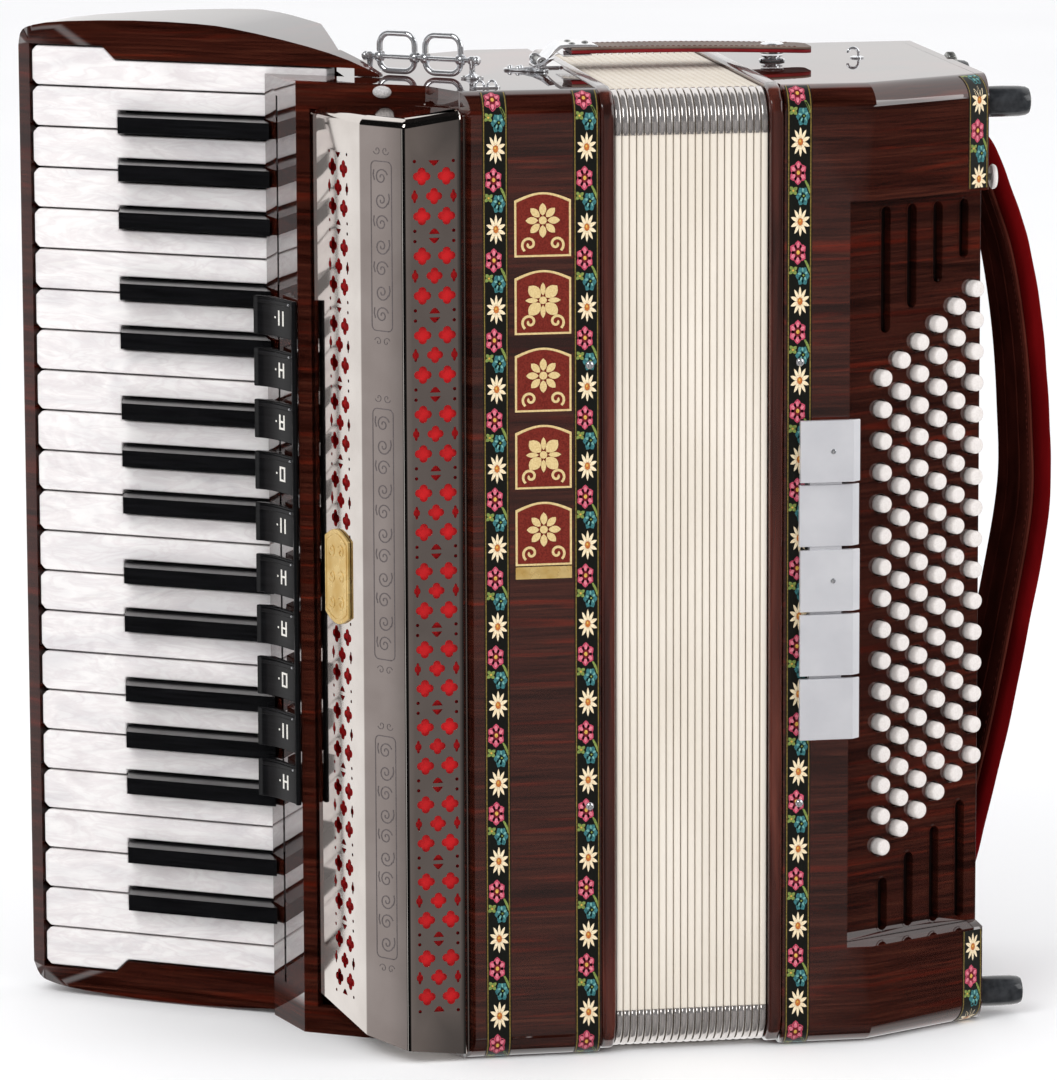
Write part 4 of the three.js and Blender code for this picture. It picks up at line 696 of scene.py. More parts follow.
def add_softbox(name, place, target, size, power):
    """A rectangular lamp that looks from its place at the target."""
    data = bpy.data.lights.new(name, "AREA")
    data.shape = "RECTANGLE"
    data.size, data.size_y = size
    data.energy = power
    lamp = bpy.data.objects.new(name, data)
    lamp.location = place
    lamp.rotation_euler = (Vector(target) - Vector(place)).to_track_quat("-Z", "Y").to_euler()
    bpy.context.scene.collection.objects.link(lamp)


def set_world():
    """Studio air. The camera sees white and matt surfaces get even light.

    Glossy ones mirror a ring of cards, by the turn of the direction, atan2(y, x), from left through
    the dim front and the bright right to the white back; above them hangs a ring of lamps round a
    dark middle."""
    world = bpy.data.worlds.new("studio")
    bpy.context.scene.world = world
    world.use_nodes = True
    nodes = Nodes(world.node_tree)
    nodes.tree.nodes.clear()
    look = nodes.node("ShaderNodeTexCoord").outputs["Generated"]
    x, y, z = nodes.node("ShaderNodeSeparateXYZ", {"Vector": look}).outputs
    turn = nodes.node("ShaderNodeMath", {0: y, 1: x}, operation="ARCTAN2").outputs[0]
    share = nodes.level(turn, 0.0, 1.0, -math.pi, math.pi)
    cards, lamps = nodes.ramp(share, STUDIO_RING), nodes.ramp(share, CEILING_RING)
    mirrored = nodes.blend(nodes.level(z, 0.0, 1.0, *CEILING_STARTS), cards, lamps)
    mirrored = nodes.blend(nodes.level(z, 0.0, 1.0, *MIDDLE_STARTS), mirrored, linear("1c1a1a"))
    path = nodes.node("ShaderNodeLightPath").outputs
    lit = nodes.blend(path["Is Glossy Ray"], linear("f6f6f8"), mirrored)
    air = nodes.blend(path["Is Camera Ray"], lit, linear("ffffff"))
    background = nodes.node("ShaderNodeBackground", {"Color": air, "Strength": 1.08})
    output = nodes.node("ShaderNodeOutputWorld")
    nodes.tree.links.new(background.outputs[0], output.inputs[0])


def set_stage():
    """A pale floor that glossy surfaces don't mirror, two softboxes, and the studio air."""
    plan = rectangle(-FLOOR_REACH, -FLOOR_REACH, FLOOR_REACH, FLOOR_REACH).tolist()
    corners = [(x, y, 0) for x, y in plan]
    floor_mesh = bpy.data.meshes.new("floor")
    floor_mesh.from_pydata(corners, [], [[0, 1, 2, 3]])
    finish = Finish("pale_floor", "fbfbfb", 0.7)
    finish.colour(finish.ramp(finish.grain((2.0, 2.0, 2.0), 2.0), [(0.2, "fafafa"), (0.8, "ffffff")]))
    floor_mesh.materials.append(finish.material)
    floor = bpy.data.objects.new("floor", floor_mesh)
    bpy.context.scene.collection.objects.link(floor)
    floor.visible_glossy = False
    add_softbox("key_light", (-1.6, -1.8, 2.2), (0, 0, 0.2), (1.4, 1.4), 30)
    add_softbox("fill_light", (2.2, -1.4, 1.4), (0, 0, 0.25), (1.2, 1.6), 15)
    set_world()
    bpy.context.scene.view_settings.view_transform = "Standard"


# Cabinets and keys

# How near, in millimetres, an edge lies to the panels' front line or a face to the wall, and the
# least share of a face's normal that points out of the wall
EDGE_NEAR = 0.1
WALL_NEAR = 0.5
WALL_SQUARE = 0.98


def is_panel_end(first, second):
    """True for an edge that runs along the front line of a panel at the top or bottom of a cabinet."""
    for x, y, z in (first, second):
        front = max(x - BASS_X - BASS_FLAT, 0) * math.tan(CHAMFER_TURN)
        if abs(y - front) > EDGE_NEAR or min(z, CABINET_HEIGHT - z) > EDGE_NEAR:
            return False
    return abs(first[0] - second[0]) > 1


def polish_wall(shell):
    """Gives the wall by the keys its own brighter coat: the faces on its line, from foot to top."""
    shell.data.materials.append(MIRROR_ROSEWOOD)
    foot, top = [on_keys(along, 0, out)[:2] for along, out in (WALL_FOOT, WALL_TOP)]
    ahead = (top - foot) / np.linalg.norm(top - foot)
    across = np.array([ahead[1], -ahead[0]])
    for face in shell.data.polygons:
        away = ((np.array(face.center) - ORIGIN)[:2] / MM - foot) @ across
        if abs(away) < WALL_NEAR and abs(np.array(face.normal)[:2] @ across) > WALL_SQUARE:
            face.material_index = 1


def dress_cabinets():
    shell = rounded_copy("treble_cabinet", "treble_shell", 2.2, ROSEWOOD, "treble", 6.0,
                         wide=is_panel_end)
    polish_wall(shell)
    rounded_copy("keyboard_bed", "keyboard_shell", 2.2, ROSEWOOD, "treble", 4.5)
    rounded_copy("bass_cabinet", "bass_shell", 1.2, ROSEWOOD, "bass", 9.0, wide=is_panel_end,
                 carve=button_holes())
    rounded_copy("bass_end_plate", "bass_end_shell", 1.2, ROSEWOOD, "bass", 9.0, wide=is_panel_end)
    for side in ("treble", "bass"):
        rounded_copy("bellows_frame_" + side, side + "_bellows_frame", 1.8, DARK_WOOD, side, 5.0)
    dress_node("key_axle", STEEL)
    dress_node("treble_reed_blocks", DARK_WOOD)
    dress_node("grille_cloth", RED_CLOTH)


def dress_keys():
    for node in sorted(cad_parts):
        body = node + "_body"
        if node.startswith("white_key"):
            rounded_copy(node, node.replace("white", "pearl"), 0.9, PEARL, body, 1.5)
        if node.startswith("black_key"):
            rounded_copy(node, node.replace("black", "ebony"), 1.1, EBONY, body, 4.0, 3, 20)


# Bellows

FOLD_COUNT = 21
FOLD_PITCH = 3.5
BELLOWS_X = (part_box("bellows")[0].x - ORIGIN[0]) / MM
BELLOWS_LENGTH = FOLD_COUNT * FOLD_PITCH
BELLOWS_INSET = 1.5
BELLOWS_RADIUS = 16.0
FOLD_DEPTH = 3.6
BELLOWS_WALL = FOLD_DEPTH + 20.0


def bellows_outline(depth, steps=10):
    """The bellows seen along x: a rectangle with round corners, drawn in by depth."""
    edge = BELLOWS_INSET + depth
    radius = max(BELLOWS_RADIUS - depth, 1)
    return rounded_outline(edge, edge, BODY_DEPTH - edge, CABINET_HEIGHT - edge, radius, steps)


def fold_profile(samples):
    """Across one fold: share of its pitch, and depth 1 - (1 - |2t-1|^6)^(1/3) times the fold's depth."""
    share = (1 - np.cos(np.linspace(0, np.pi, samples))) / 2
    return share, FOLD_DEPTH * (1 - (1 - np.abs(2 * share - 1) ** 6) ** (1 / 3))


def add_bellows():
    """Folds and their inner wall in one closed tube. "gap" tells the cloth how deep in a gap a point is,
    where it paints shade.
    """
    share, depth = fold_profile(11)
    rings = [stacked(BELLOWS_X + (fold + t) * FOLD_PITCH, *bellows_outline(d).T)
             for fold in range(FOLD_COUNT) for t, d in zip(share[:-1], depth[:-1])]
    rings.append(stacked(BELLOWS_X + BELLOWS_LENGTH, *bellows_outline(depth[-1]).T))
    rings.append(stacked(BELLOWS_X + BELLOWS_LENGTH, *bellows_outline(BELLOWS_WALL).T))
    rings.append(stacked(BELLOWS_X, *bellows_outline(BELLOWS_WALL).T))
    shape = lofted(rings, wrap_rows=True)
    piece = add_piece("bellows_folds", shape, CLOTH, None, ("bellows",), 50)
    places = np.empty(len(piece.data.vertices) * 3)
    piece.data.vertices.foreach_get("co", places)
    fold = ((places[::3] - ORIGIN[0]) / MM - BELLOWS_X) / FOLD_PITCH
    # How deep in a fold's gap each point lies, for the cloth's painted shade.
    gap = piece.data.attributes.new("gap", "FLOAT", "POINT")
    gap.data.foreach_set("value", np.abs(2 * (fold % 1) - 1) ** 12)
    stretch(piece)


def stretch(piece):
    """Bakes a bellows piece's placement into its points; the piece rides on no body."""
    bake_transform(piece)


CORNER_REACH_DOWN = 20.0
CORNER_SKIN = 0.35


def corner_path(steps=12):
    """From the front face round its upper corner to the top: a straight, then a quarter circle."""
    radius = BELLOWS_RADIUS
    high = CABINET_HEIGHT - BELLOWS_INSET
    angle = np.linspace(np.pi, np.pi / 2, steps)
    centre = (BELLOWS_INSET + radius, high - radius)
    arc = np.stack([centre[0] + radius * np.cos(angle), centre[1] + radius * np.sin(angle)], -1)
    low = [[BELLOWS_INSET, high - CORNER_REACH_DOWN]]
    return np.concatenate([low, arc]), np.array([[-1, 0]] + [[math.cos(a), math.sin(a)] for a in angle])


def add_bellows_corners():
    """Metal caps: the corner path carried across each fold's crest, lifted by a thin skin."""
    share, depth = [values[1:-1] for values in fold_profile(9)]
    path, normals = corner_path()
    caps = []
    for fold in range(FOLD_COUNT):
        x = BELLOWS_X + (fold + share)[None, :] * FOLD_PITCH
        outer = (CORNER_SKIN - depth)[None, :]
        y = path[:, :1] + normals[:, :1] * outer
        z = path[:, 1:] + normals[:, 1:] * outer
        for back in (False, True):
            for low in (False, True):
                grid = stacked(x, BODY_DEPTH - y if back else y, CABINET_HEIGHT - z if low else z)
                rows, columns = grid.shape[:2]
                caps.append((grid.reshape(-1, 3), grid_faces(rows, columns, False, False).tolist()))
    piece = add_piece("bellows_corners", merged(*caps), FOLD_METAL, None, (), 60)
    axis = Vector(metres((0, BODY_DEPTH / 2, CABINET_HEIGHT / 2)))
    face_towards(piece, lambda place: Vector((0, place.y - axis.y, place.z - axis.z)))
    thickened(piece, 0.3)
    stretch(piece)


# Grille

GRILLE_FOLD_RIGHT = (-36.5, 0.0)
GRILLE_RIGHT = (-6.2, 1.2)
GRILLE_RIGHT_BACK = (-20.5, 37.4)
GRILLE_LEFT = -66.0
GRILLE_LEFT_BACK = (-70.3, 70.3)
GRILLE_FOLD_LEFT = (-54.0, 21.0)
GRILLE_TOP = (452.5, 457.0)
GRILLE_BOTTOM = 3.5
GRILLE_BOTTOM_RISE = 17.5
GRILLE_BOTTOM_SHARES = ((0, 1), (0.083, 0.62), (0.215, 0.37), (0.36, 0.23), (0.51, 0.17), (1, 0))
GRILLE_SHEET = 1.2
GRILLE_ROUND = 3.2
GRILLE_TOP_ROUND = 5.0
HOLE_ROWS = 22
HOLE_PITCH = 18.71
FIRST_HOLES = 425.7
HOLE_REACH = 4.3
PAIR_SPACING = 11.7
GRILLE_LEFT_MIDDLE = 23.0
GRILLE_INSIDE = (-10.0, 60.0, 430.0)
DOME_HALF = 2.6
DOME_RISE = 2.7


def rounded_plan(corners, radius, steps=6):
    """A plan line whose inner corners are arcs. Returns points, each point's run, and each corner's run.

    The arc starts at radius times tan(half the turn) before the corner and is tangent to both sides."""
    corners = np.array(corners, float)
    points, marks = [corners[0]], []
    for before, corner, after in zip(corners, corners[1:], corners[2:]):
        first = (corner - before) / np.linalg.norm(corner - before)
        second = (after - corner) / np.linalg.norm(after - corner)
        turn = math.atan2(first[0] * second[1] - first[1] * second[0], first @ second)
        setback = radius * math.tan(abs(turn) / 2)
        side = math.copysign(1, turn) * np.array([-first[1], first[0]])
        centre = corner - first * setback + side * radius
        for angle in np.linspace(0, turn, steps + 1):
            spoke = -side * radius
            points.append(centre + np.array([spoke[0] * math.cos(angle) - spoke[1] * math.sin(angle),
                                             spoke[0] * math.sin(angle) + spoke[1] * math.cos(angle)]))
        marks.append(len(points) - 1 - steps // 2)
    points.append(corners[-1])
    points = np.array(points)
    runs = np.concatenate([[0], np.cumsum(np.linalg.norm(np.diff(points, axis=0), axis=1))])
    return points, runs, runs[marks]


def grille_top(x):
    """The upper edge: level over the left and middle facets, then a straight rise over the right one."""
    share = np.clip((np.asarray(x) - GRILLE_FOLD_RIGHT[0]) / (GRILLE_RIGHT[0] - GRILLE_FOLD_RIGHT[0]), 0, 1)
    return GRILLE_TOP[0] + (GRILLE_TOP[1] - GRILLE_TOP[0]) * share


def grille_bottom(x):
    """The lower edge: its lift follows the bottom shares over the width, straight between them."""
    runs, lifts = np.array(GRILLE_BOTTOM_SHARES).T
    share = (np.asarray(x) - GRILLE_LEFT) / (GRILLE_RIGHT[0] - GRILLE_LEFT)
    return GRILLE_BOTTOM + GRILLE_BOTTOM_RISE * np.interp(share, runs, lifts)


def quatrefoil(centre, size=1.0, width=1.0):
    """Four round lobes: reach = d cos a + sqrt(r^2 - d^2 sin^2 a), a the angle to the nearest lobe's axis."""
    offset, lobe = HOLE_REACH * size * 0.53, HOLE_REACH * size * 0.47
    angle = round_angles(32)
    nearest = (angle + np.pi / 4) % (np.pi / 2) - np.pi / 4
    reach = offset * np.cos(nearest) + np.sqrt(lobe ** 2 - (offset * np.sin(nearest)) ** 2)
    return np.stack([centre[0] + reach * np.cos(angle) * width, centre[1] + reach * np.sin(angle)], -1)


def dome(centre, way):
    """A hole under an arch of sin(pi t) (way 1), or over a blunt point of 1 - |2t - 1|^1.4 (way -1)."""
    share = np.linspace(0, 1, 9)
    rise = np.sin(np.pi * share) if way > 0 else 1 - np.abs(2 * share - 1) ** 1.4
    outline = np.stack([DOME_HALF * (1 - 2 * share), way * DOME_RISE * rise], -1)
    return outline[:: way] + np.asarray(centre, float)


def facet_pattern(middle):
    """Rows of paired holes; the gaps between take turns: one hole with narrow ones, or halves with dots."""
    holes = []
    side, far = PAIR_SPACING / 2, PAIR_SPACING * 0.79
    for row in range(HOLE_ROWS):
        z = FIRST_HOLES - row * HOLE_PITCH
        holes += [quatrefoil((middle - side, z), 0.97), quatrefoil((middle + side, z), 0.97)]
        gap = z - HOLE_PITCH / 2
        if row == HOLE_ROWS - 1:
            continue
        if row % 2 == 0:
            holes += [quatrefoil((middle, gap), 0.9), quatrefoil((middle - far, gap), 0.72, 0.5),
                      quatrefoil((middle + far, gap), 0.72, 0.5)]
            continue
        for way in (1, -1):
            holes.append(dome((middle, gap + way * 0.9), way))
            holes += [disc((middle + turn * far, gap + way * 2.4), 0.85, 8) for turn in (-1, 1)]
    top, low = FIRST_HOLES + HOLE_PITCH * 0.4, FIRST_HOLES - (HOLE_ROWS - 0.6) * HOLE_PITCH
    holes += [dome((middle, top), -1), dome((middle, low), 1)]
    holes += [disc((middle + turn * far, z), 0.85, 8) for turn in (-1, 1) for z in (top - 0.4, low + 0.4)]
    return holes


def add_grille():
    """One sheet: its flat outline is pierced, folded along the plan and rolled back along its top."""
    corners = [GRILLE_LEFT_BACK, GRILLE_FOLD_LEFT, GRILLE_FOLD_RIGHT, GRILLE_RIGHT, GRILLE_RIGHT_BACK]
    plan, runs, folds = rounded_plan(corners, GRILLE_ROUND)
    ahead = np.gradient(plan, axis=0)
    ahead /= np.linalg.norm(ahead, axis=1, keepdims=True)
    outer = np.stack([ahead[:, 1], -ahead[:, 0]], -1)
    shoulder = grille_top(plan[:, 0]) - GRILLE_TOP_ROUND
    roll = GRILLE_TOP_ROUND * np.pi / 2
    low = np.stack([runs, grille_bottom(plan[:, 0])], -1)
    high = np.stack([runs, shoulder + roll], -1)
    outline = np.concatenate([low, high[::-1]])
    holes = facet_pattern((folds[1] + folds[2]) / 2) + facet_pattern(folds[0] - GRILLE_LEFT_MIDDLE)
    lines = [(point.tolist(), other.tolist()) for point, other in zip(low[1:-1], high[1:-1])]
    for level in np.arange(7) / 7 * roll:
        course = np.stack([runs, shoulder + level], -1).tolist()
        lines += list(zip(course[:-1], course[1:]))
    flat, faces = pierced(outline, holes, lines)

    def folded(values):
        return np.interp(flat[:, 0], runs, values)

    angle = np.maximum(flat[:, 1] - folded(shoulder), 0) / GRILLE_TOP_ROUND
    back = GRILLE_TOP_ROUND * (1 - np.cos(angle))
    x, y = [folded(plan[:, axis]) - folded(outer[:, axis]) * back for axis in (0, 1)]
    z = np.minimum(flat[:, 1], folded(shoulder)) + GRILLE_TOP_ROUND * np.sin(angle)
    sheet = add_piece("grille_sheet", (stacked(x, y, z), faces), NICKEL, "treble",
                      ("treble_grille",), 30)
    face_towards(sheet, away_from_inside)
    thickened(sheet, GRILLE_SHEET)
    bevelled(sheet, 0.18, 1, 50)
    top = plan - outer * (GRILLE_TOP_ROUND - 0.3)
    bottom = plan - outer * 0.4
    for name, edge, z, drop in (("grille_roof", top, shoulder + GRILLE_TOP_ROUND - 0.05, -GRILLE_SHEET),
                                ("grille_sill", bottom, low[:, 1] + 0.1, GRILLE_SHEET)):
        rings = [stacked(edge[:, 0], edge[:, 1], level) for level in (z, z + drop)]
        add_piece(name, lofted(rings), NICKEL, "treble")


def away_from_inside(place):
    """Direction from a point inside the cabinet: level up to its height, and above it doubly steep."""
    away = place - Vector(metres(GRILLE_INSIDE))
    away.z = max(away.z, 0) * 2
    return away


def stroke(line, width, lift, thickness, place):
    """A flat band along a line in the plane: place maps (across, up, out) to a point."""
    line = np.asarray(line, float)
    ahead = np.gradient(line, axis=0)
    ahead /= np.maximum(np.linalg.norm(ahead, axis=1, keepdims=True), 1e-9)
    side = np.stack([-ahead[:, 1], ahead[:, 0]], -1) * width / 2
    left, right = line + side, line - side
    rings = [place(edge[:, 0], edge[:, 1], out) for edge, out in
             ((left, lift), (left, lift + thickness), (right, lift + thickness), (right, lift))]
    return lofted(np.stack(rings, 1))


def spiral(centre, reach, turns, start, hand=1, steps=22):
    """An Archimedes spiral: its radius grows evenly with its angle."""
    share = np.linspace(0.12, 1, steps)
    angle, radius = start + hand * turns * 2 * np.pi * share, reach * share
    return np.stack([centre[0] + radius * np.cos(angle), centre[1] + radius * np.sin(angle)], -1)


def on_facet(start, end):
    """Places strokes on the flat that stands on the plan line from start to end."""
    turn = math.atan2(end[1] - start[1], end[0] - start[0])
    return lambda across, up, out: on_line(start, turn, across, up, out)


# Heights between which the panels of scrolls stand, and places on the left facet for the gold plate
SCROLL_PANELS = ((432.0, 352.0), (315.0, 195.0), (158.0, 50.0))
SCROLL_SPACING = 10.5
BADGE_ENDS = (211.0, 248.0)
BADGE_SIDES = (8.0, 33.0)
BADGE_ARCH = 4.5
BADGE_THICKNESS = 1.5
BADGE_SCROLLS = 3
BADGE_SCROLL_PITCH = 12.5


def add_grille_scrolls():
    """Engraved lines on the middle facet: three framed panels of scrolls, one spiral after another."""
    place = on_facet(GRILLE_FOLD_LEFT, GRILLE_FOLD_RIGHT)
    middle, half = math.dist(GRILLE_FOLD_LEFT, GRILLE_FOLD_RIGHT) * 0.49, 6.4
    parts = []

    def engrave(line, width):
        parts.append(stroke(line, width, 0.02, 0.1, place))

    for high, low in SCROLL_PANELS:
        engrave(looped(rounded_outline(middle - half, low, middle + half, high, 2.6, 5)), 0.5)
        count = int((high - low) / SCROLL_SPACING)
        pitch = (high - low - 4) / count
        for index in range(count):
            z = high - 2 - (index + 0.5) * pitch
            hand = 1 if index % 2 else -1
            engrave(spiral((middle, z), 4.1, 1.7, np.pi / 2 * hand, hand), 0.6)
            leaf = [(middle + hand * across, z + up) for across, up in ((4.6, 3.4), (5.0, 1.0), (4.2, -1.6))]
            engrave(leaf, 0.6)
        for end, way in ((high, 1), (low, -1)):
            for hand in (-1, 1):
                centre = (middle + hand * 2.6, end + way * 5.2)
                engrave(spiral(centre, 2.3, 1.2, -np.pi / 2 * way, hand * way), 0.35)
    add_piece("grille_scrolls", merged(*parts), ENGRAVED, "treble")


def add_badge():
    """A gold plate with arched ends on the left facet, with a border line and pairs of scrolls."""
    back, fold = np.array(GRILLE_LEFT_BACK), np.array(GRILLE_FOLD_LEFT)
    along = (fold - back) / np.linalg.norm(fold - back)
    place = on_facet(fold - along * GRILLE_LEFT_MIDDLE * 2, fold)
    (low, high), (first, last) = BADGE_ENDS, BADGE_SIDES
    share = np.linspace(0, 1, 15)
    across, arch = (last - first) * share, BADGE_ARCH * np.sin(share * np.pi)
    upper = np.stack([last - across, high + arch], -1)
    lower = np.stack([first + across, low - arch], -1)
    outline = np.concatenate([upper, lower])
    rings = [place(outline[:, 0], outline[:, 1], lift) for lift in (0.1, BADGE_THICKNESS)]
    badge = add_piece("grille_badge", lofted(rings), GOLD, "treble")
    bevelled(badge, 0.4, 2)
    centre = np.array([(first + last) / 2, (low + high) / 2])
    lines = [looped((outline - centre) * (0.86, 0.9) + centre)]
    for index in range(BADGE_SCROLLS):
        z = high - 6 - index * BADGE_SCROLL_PITCH
        for hand in (-1, 1):
            lines.append(spiral((centre[0] + hand * 0.19 * (last - first), z), 3.6, 1.4, 0, hand))
    parts = [stroke(line, 0.5, BADGE_THICKNESS, 0.3, place) for line in lines]
    add_piece("badge_scrolls", merged(*parts), GOLD, "treble")


# Ribbons

RIBBON_WIDTH = 12.0
RIBBON_PERIOD = 37.8
RIBBON_FIRST = 461.0
RIBBON_UPPER_FIRST = 475.6
RIBBON_LOWER_FIRST = 24.0 + RIBBON_PERIOD


def petals(centre, reach, width, angles, stretch=1.0, inner=0.0):
    """Leaf shapes round a centre: half width = width/2 * sin(pi t)^0.7 from inner to reach."""
    share = np.linspace(0, 1, 7)
    half = width / 2 * np.sin(np.pi * share) ** 0.7
    along = inner + (reach - inner) * share
    outline = np.concatenate([np.stack([along, half], -1), np.stack([along, -half], -1)[-2:0:-1]])
    shapes = []
    for angle in angles:
        x = outline[:, 0] * math.cos(angle) - outline[:, 1] * math.sin(angle)
        z = (outline[:, 0] * math.sin(angle) + outline[:, 1] * math.cos(angle)) * stretch
        shapes.append(np.stack([centre[0] + x, centre[1] + z], -1))
    return shapes


def ribbon_motif():
    """One period of the pattern, as (colour, layer, outline): rose, leaf, blue flower, edelweiss."""
    motif = []

    def flower(colour, layer, centre, reach, width, angles, stretch=1.0, inner=0.0):
        motif.extend((colour, layer, shape) for shape in petals(centre, reach, width, angles, stretch, inner))

    def dot(colour, layer, centre, radius, sides, stretch=1.0):
        motif.append((colour, layer, disc(centre, radius, sides, stretch)))

    flower("pink", 1, (-0.8, 0), 4.3, 3.6, round_angles(6, 0.5), 1.35)
    flower("rose", 2, (-0.8, 0), 3.7, 1.5, round_angles(6, 0.5), 1.35, 1.4)
    dot("crimson", 3, (-0.7, 0), 1.7, 12, 1.35)
    dot("yellow", 4, (-0.7, 0.1), 0.8, 10, 1.3)
    bend = np.linspace(0, 1, 6)
    stem = np.stack([2.6 + 2.2 * np.sin(bend * 1.5), -3.6 - 6.2 * bend], -1)
    across = np.stack([0.55 * np.sin(np.pi * (bend * 0.8 + 0.2)) + 0.1, np.zeros(6)], -1)
    motif.append(("leaf", 2, np.concatenate([stem + across, (stem - across)[::-1]])))
    flower("leaf", 1, (-3.1, -8.4), 2.5, 1.7, (0.7, 2.2, 3.9, 5.4))
    dot("yellow", 3, (-3.1, -8.4), 0.5, 8)
    flower("teal", 1, (1.5, -11.2), 3.4, 2.7, round_angles(6), 1.4)
    flower("mint", 2, (1.7, -10.6), 2.5, 0.9, round_angles(5, 0.4), 1.4, 0.8)
    dot("black", 3, (1.8, -11.0), 1.05, 10)
    dot("leaf", 4, (1.9, -10.9), 0.5, 8)
    flower("cream", 1, (0.3, -23.2), 4.7, 1.3, round_angles(10, np.pi / 10), 1.5)
    dot("ochre", 2, (0.3, -23.2), 1.3, 12, 1.4)
    dot("yellow", 3, (0.1, -22.8), 0.5, 8, 1.3)
    return motif


def ribbon(panel, centre, low, high, first):
    """A black band between two runs of a panel, its gold edge lines, and the motifs on it.

    What would reach past an end of the band is drawn in to it, or left out if too little remains."""
    steps = np.unique(np.concatenate([[low, high], np.linspace(-EDGE_RADIUS, EDGE_RADIUS, 25),
                                      CABINET_HEIGHT + np.linspace(-EDGE_RADIUS, EDGE_RADIUS, 25)]))
    steps = steps[(steps >= low) & (steps <= high)]
    half = RIBBON_WIDTH / 2
    parts, colours = [], []

    def add(shape, colour):
        parts.append(shape)
        colours.extend([RIBBON_COLOURS.index(colour)] * len(shape[1]))

    def band(left, right, lift, thickness, colour):
        corners = ((left, lift), (right, lift), (right, lift + thickness), (left, lift + thickness))
        rings = np.stack([on_panel(panel, centre + across, steps, out) for across, out in corners], 1)
        add(lofted(rings), colour)

    band(-half, half, 0.08, 0.12, "black")
    for edge in (-half + 0.7, half - 0.7):
        band(edge - 0.25, edge + 0.25, 0.2, 0.06, "olive")
    motif = ribbon_motif()
    count = int((first - low) / RIBBON_PERIOD) + 2
    for index in range(-1, count):
        base = first - index * RIBBON_PERIOD
        for colour, layer, outline in motif:
            z = outline[:, 1] + base
            if z.max() > high - 0.3 or z.min() < low + 0.3:
                z = np.clip(z, low + 0.3, high - 0.3)
                if z.max() - z.min() < 0.8:
                    continue
            points = on_panel(panel, centre + outline[:, 0], z, 0.2 + 0.05 * layer)
            middle = points.mean(0, keepdims=True)
            sides = len(points)
            fan = [[i, (i + 1) % sides, sides] for i in range(sides)]
            add((np.concatenate([points, middle]), fan), colour)
    return merged(*parts), colours


def add_ribbons():
    arc = EDGE_RADIUS * np.pi / 2
    low, high = EDGE_RADIUS - arc * 0.8, CABINET_HEIGHT - EDGE_RADIUS + arc * 0.8
    chamfer_end = (END_X - BASS_X - BASS_FLAT) / math.cos(CHAMFER_TURN) - RIBBON_WIDTH / 2 - 0.6
    places = (
        ("ribbon_treble_left", TREBLE_PANEL, 6.7, low, high, RIBBON_FIRST, "treble"),
        ("ribbon_treble_right", TREBLE_PANEL, 49.9, low, high, RIBBON_FIRST, "treble"),
        ("ribbon_bass", BASS_PANEL, 7.2, low, high, RIBBON_FIRST, "bass"),
        ("ribbon_end_upper", CHAMFER_PANEL, chamfer_end, RECESS[1] + 1.2, high, RIBBON_UPPER_FIRST, "bass"),
        ("ribbon_end_lower", CHAMFER_PANEL, chamfer_end, low, RECESS[0] - 1.2, RIBBON_LOWER_FIRST, "bass"),
    )
    for name, panel, centre, start, end, first, body in places:
        shape, colours = ribbon(panel, centre, start, end, first)
        piece = add_piece(name, shape, RIBBON_DYES, body, (), 60, colours)
        face_out(piece, panel[1], is_open)


def is_open(face):
    """True for a face of an open motif: a triangle, or a face with an edge of its own."""
    return len(face.verts) == 3 or any(edge.is_boundary for edge in face.edges)


# Plaques and small trims on the treble panel

PLAQUE_LEFT = 15.7
PLAQUE_RIGHT = 42.6
PLAQUE_BOTTOM = 386.6
PLAQUE_HEIGHT = 30.4
PLAQUE_ARCH = 3.7
PLAQUE_PITCH = 36.7
PLAQUE_COUNT = 5


def plaque_outline(inset):
    """A rectangle under a shallow arch: z = shoulder + arch * sin(pi t)."""
    share = np.linspace(0, 1, 17)
    left, right = PLAQUE_LEFT + inset, PLAQUE_RIGHT - inset
    shoulder = PLAQUE_HEIGHT - PLAQUE_ARCH - inset
    arch = np.stack([right - (right - left) * share, shoulder + PLAQUE_ARCH * np.sin(np.pi * share)], -1)
    return np.concatenate([[[left, inset], [right, inset]], arch])


def plaque_motif(kind):
    """A generic ornament over two scrolls: a knot of four leaves with a bead (1), or a rosette (0)."""
    x, z = (PLAQUE_LEFT + PLAQUE_RIGHT) / 2, PLAQUE_HEIGHT / 2 - 1
    if kind:
        shapes = petals((x, z + 2), 9.6, 5.6, round_angles(4, np.pi / 4), 1.0, 1.8)
        shapes += petals((x, z + 2), 8.4, 2.4, round_angles(4), 1.0, 2.2)
        shapes.append(disc((x, z + 2), 1.8, 14))
    else:
        shapes = petals((x, z + 3), 8.2, 3.4, round_angles(8), 1.0, 2.2)
        shapes.append(disc((x, z + 3), 1.9, 14))
    lines = [spiral((x + hand * 6.4, z - 8.2), 3.8, 1.4, np.pi / 2, -hand) for hand in (-1, 1)]
    return shapes, lines


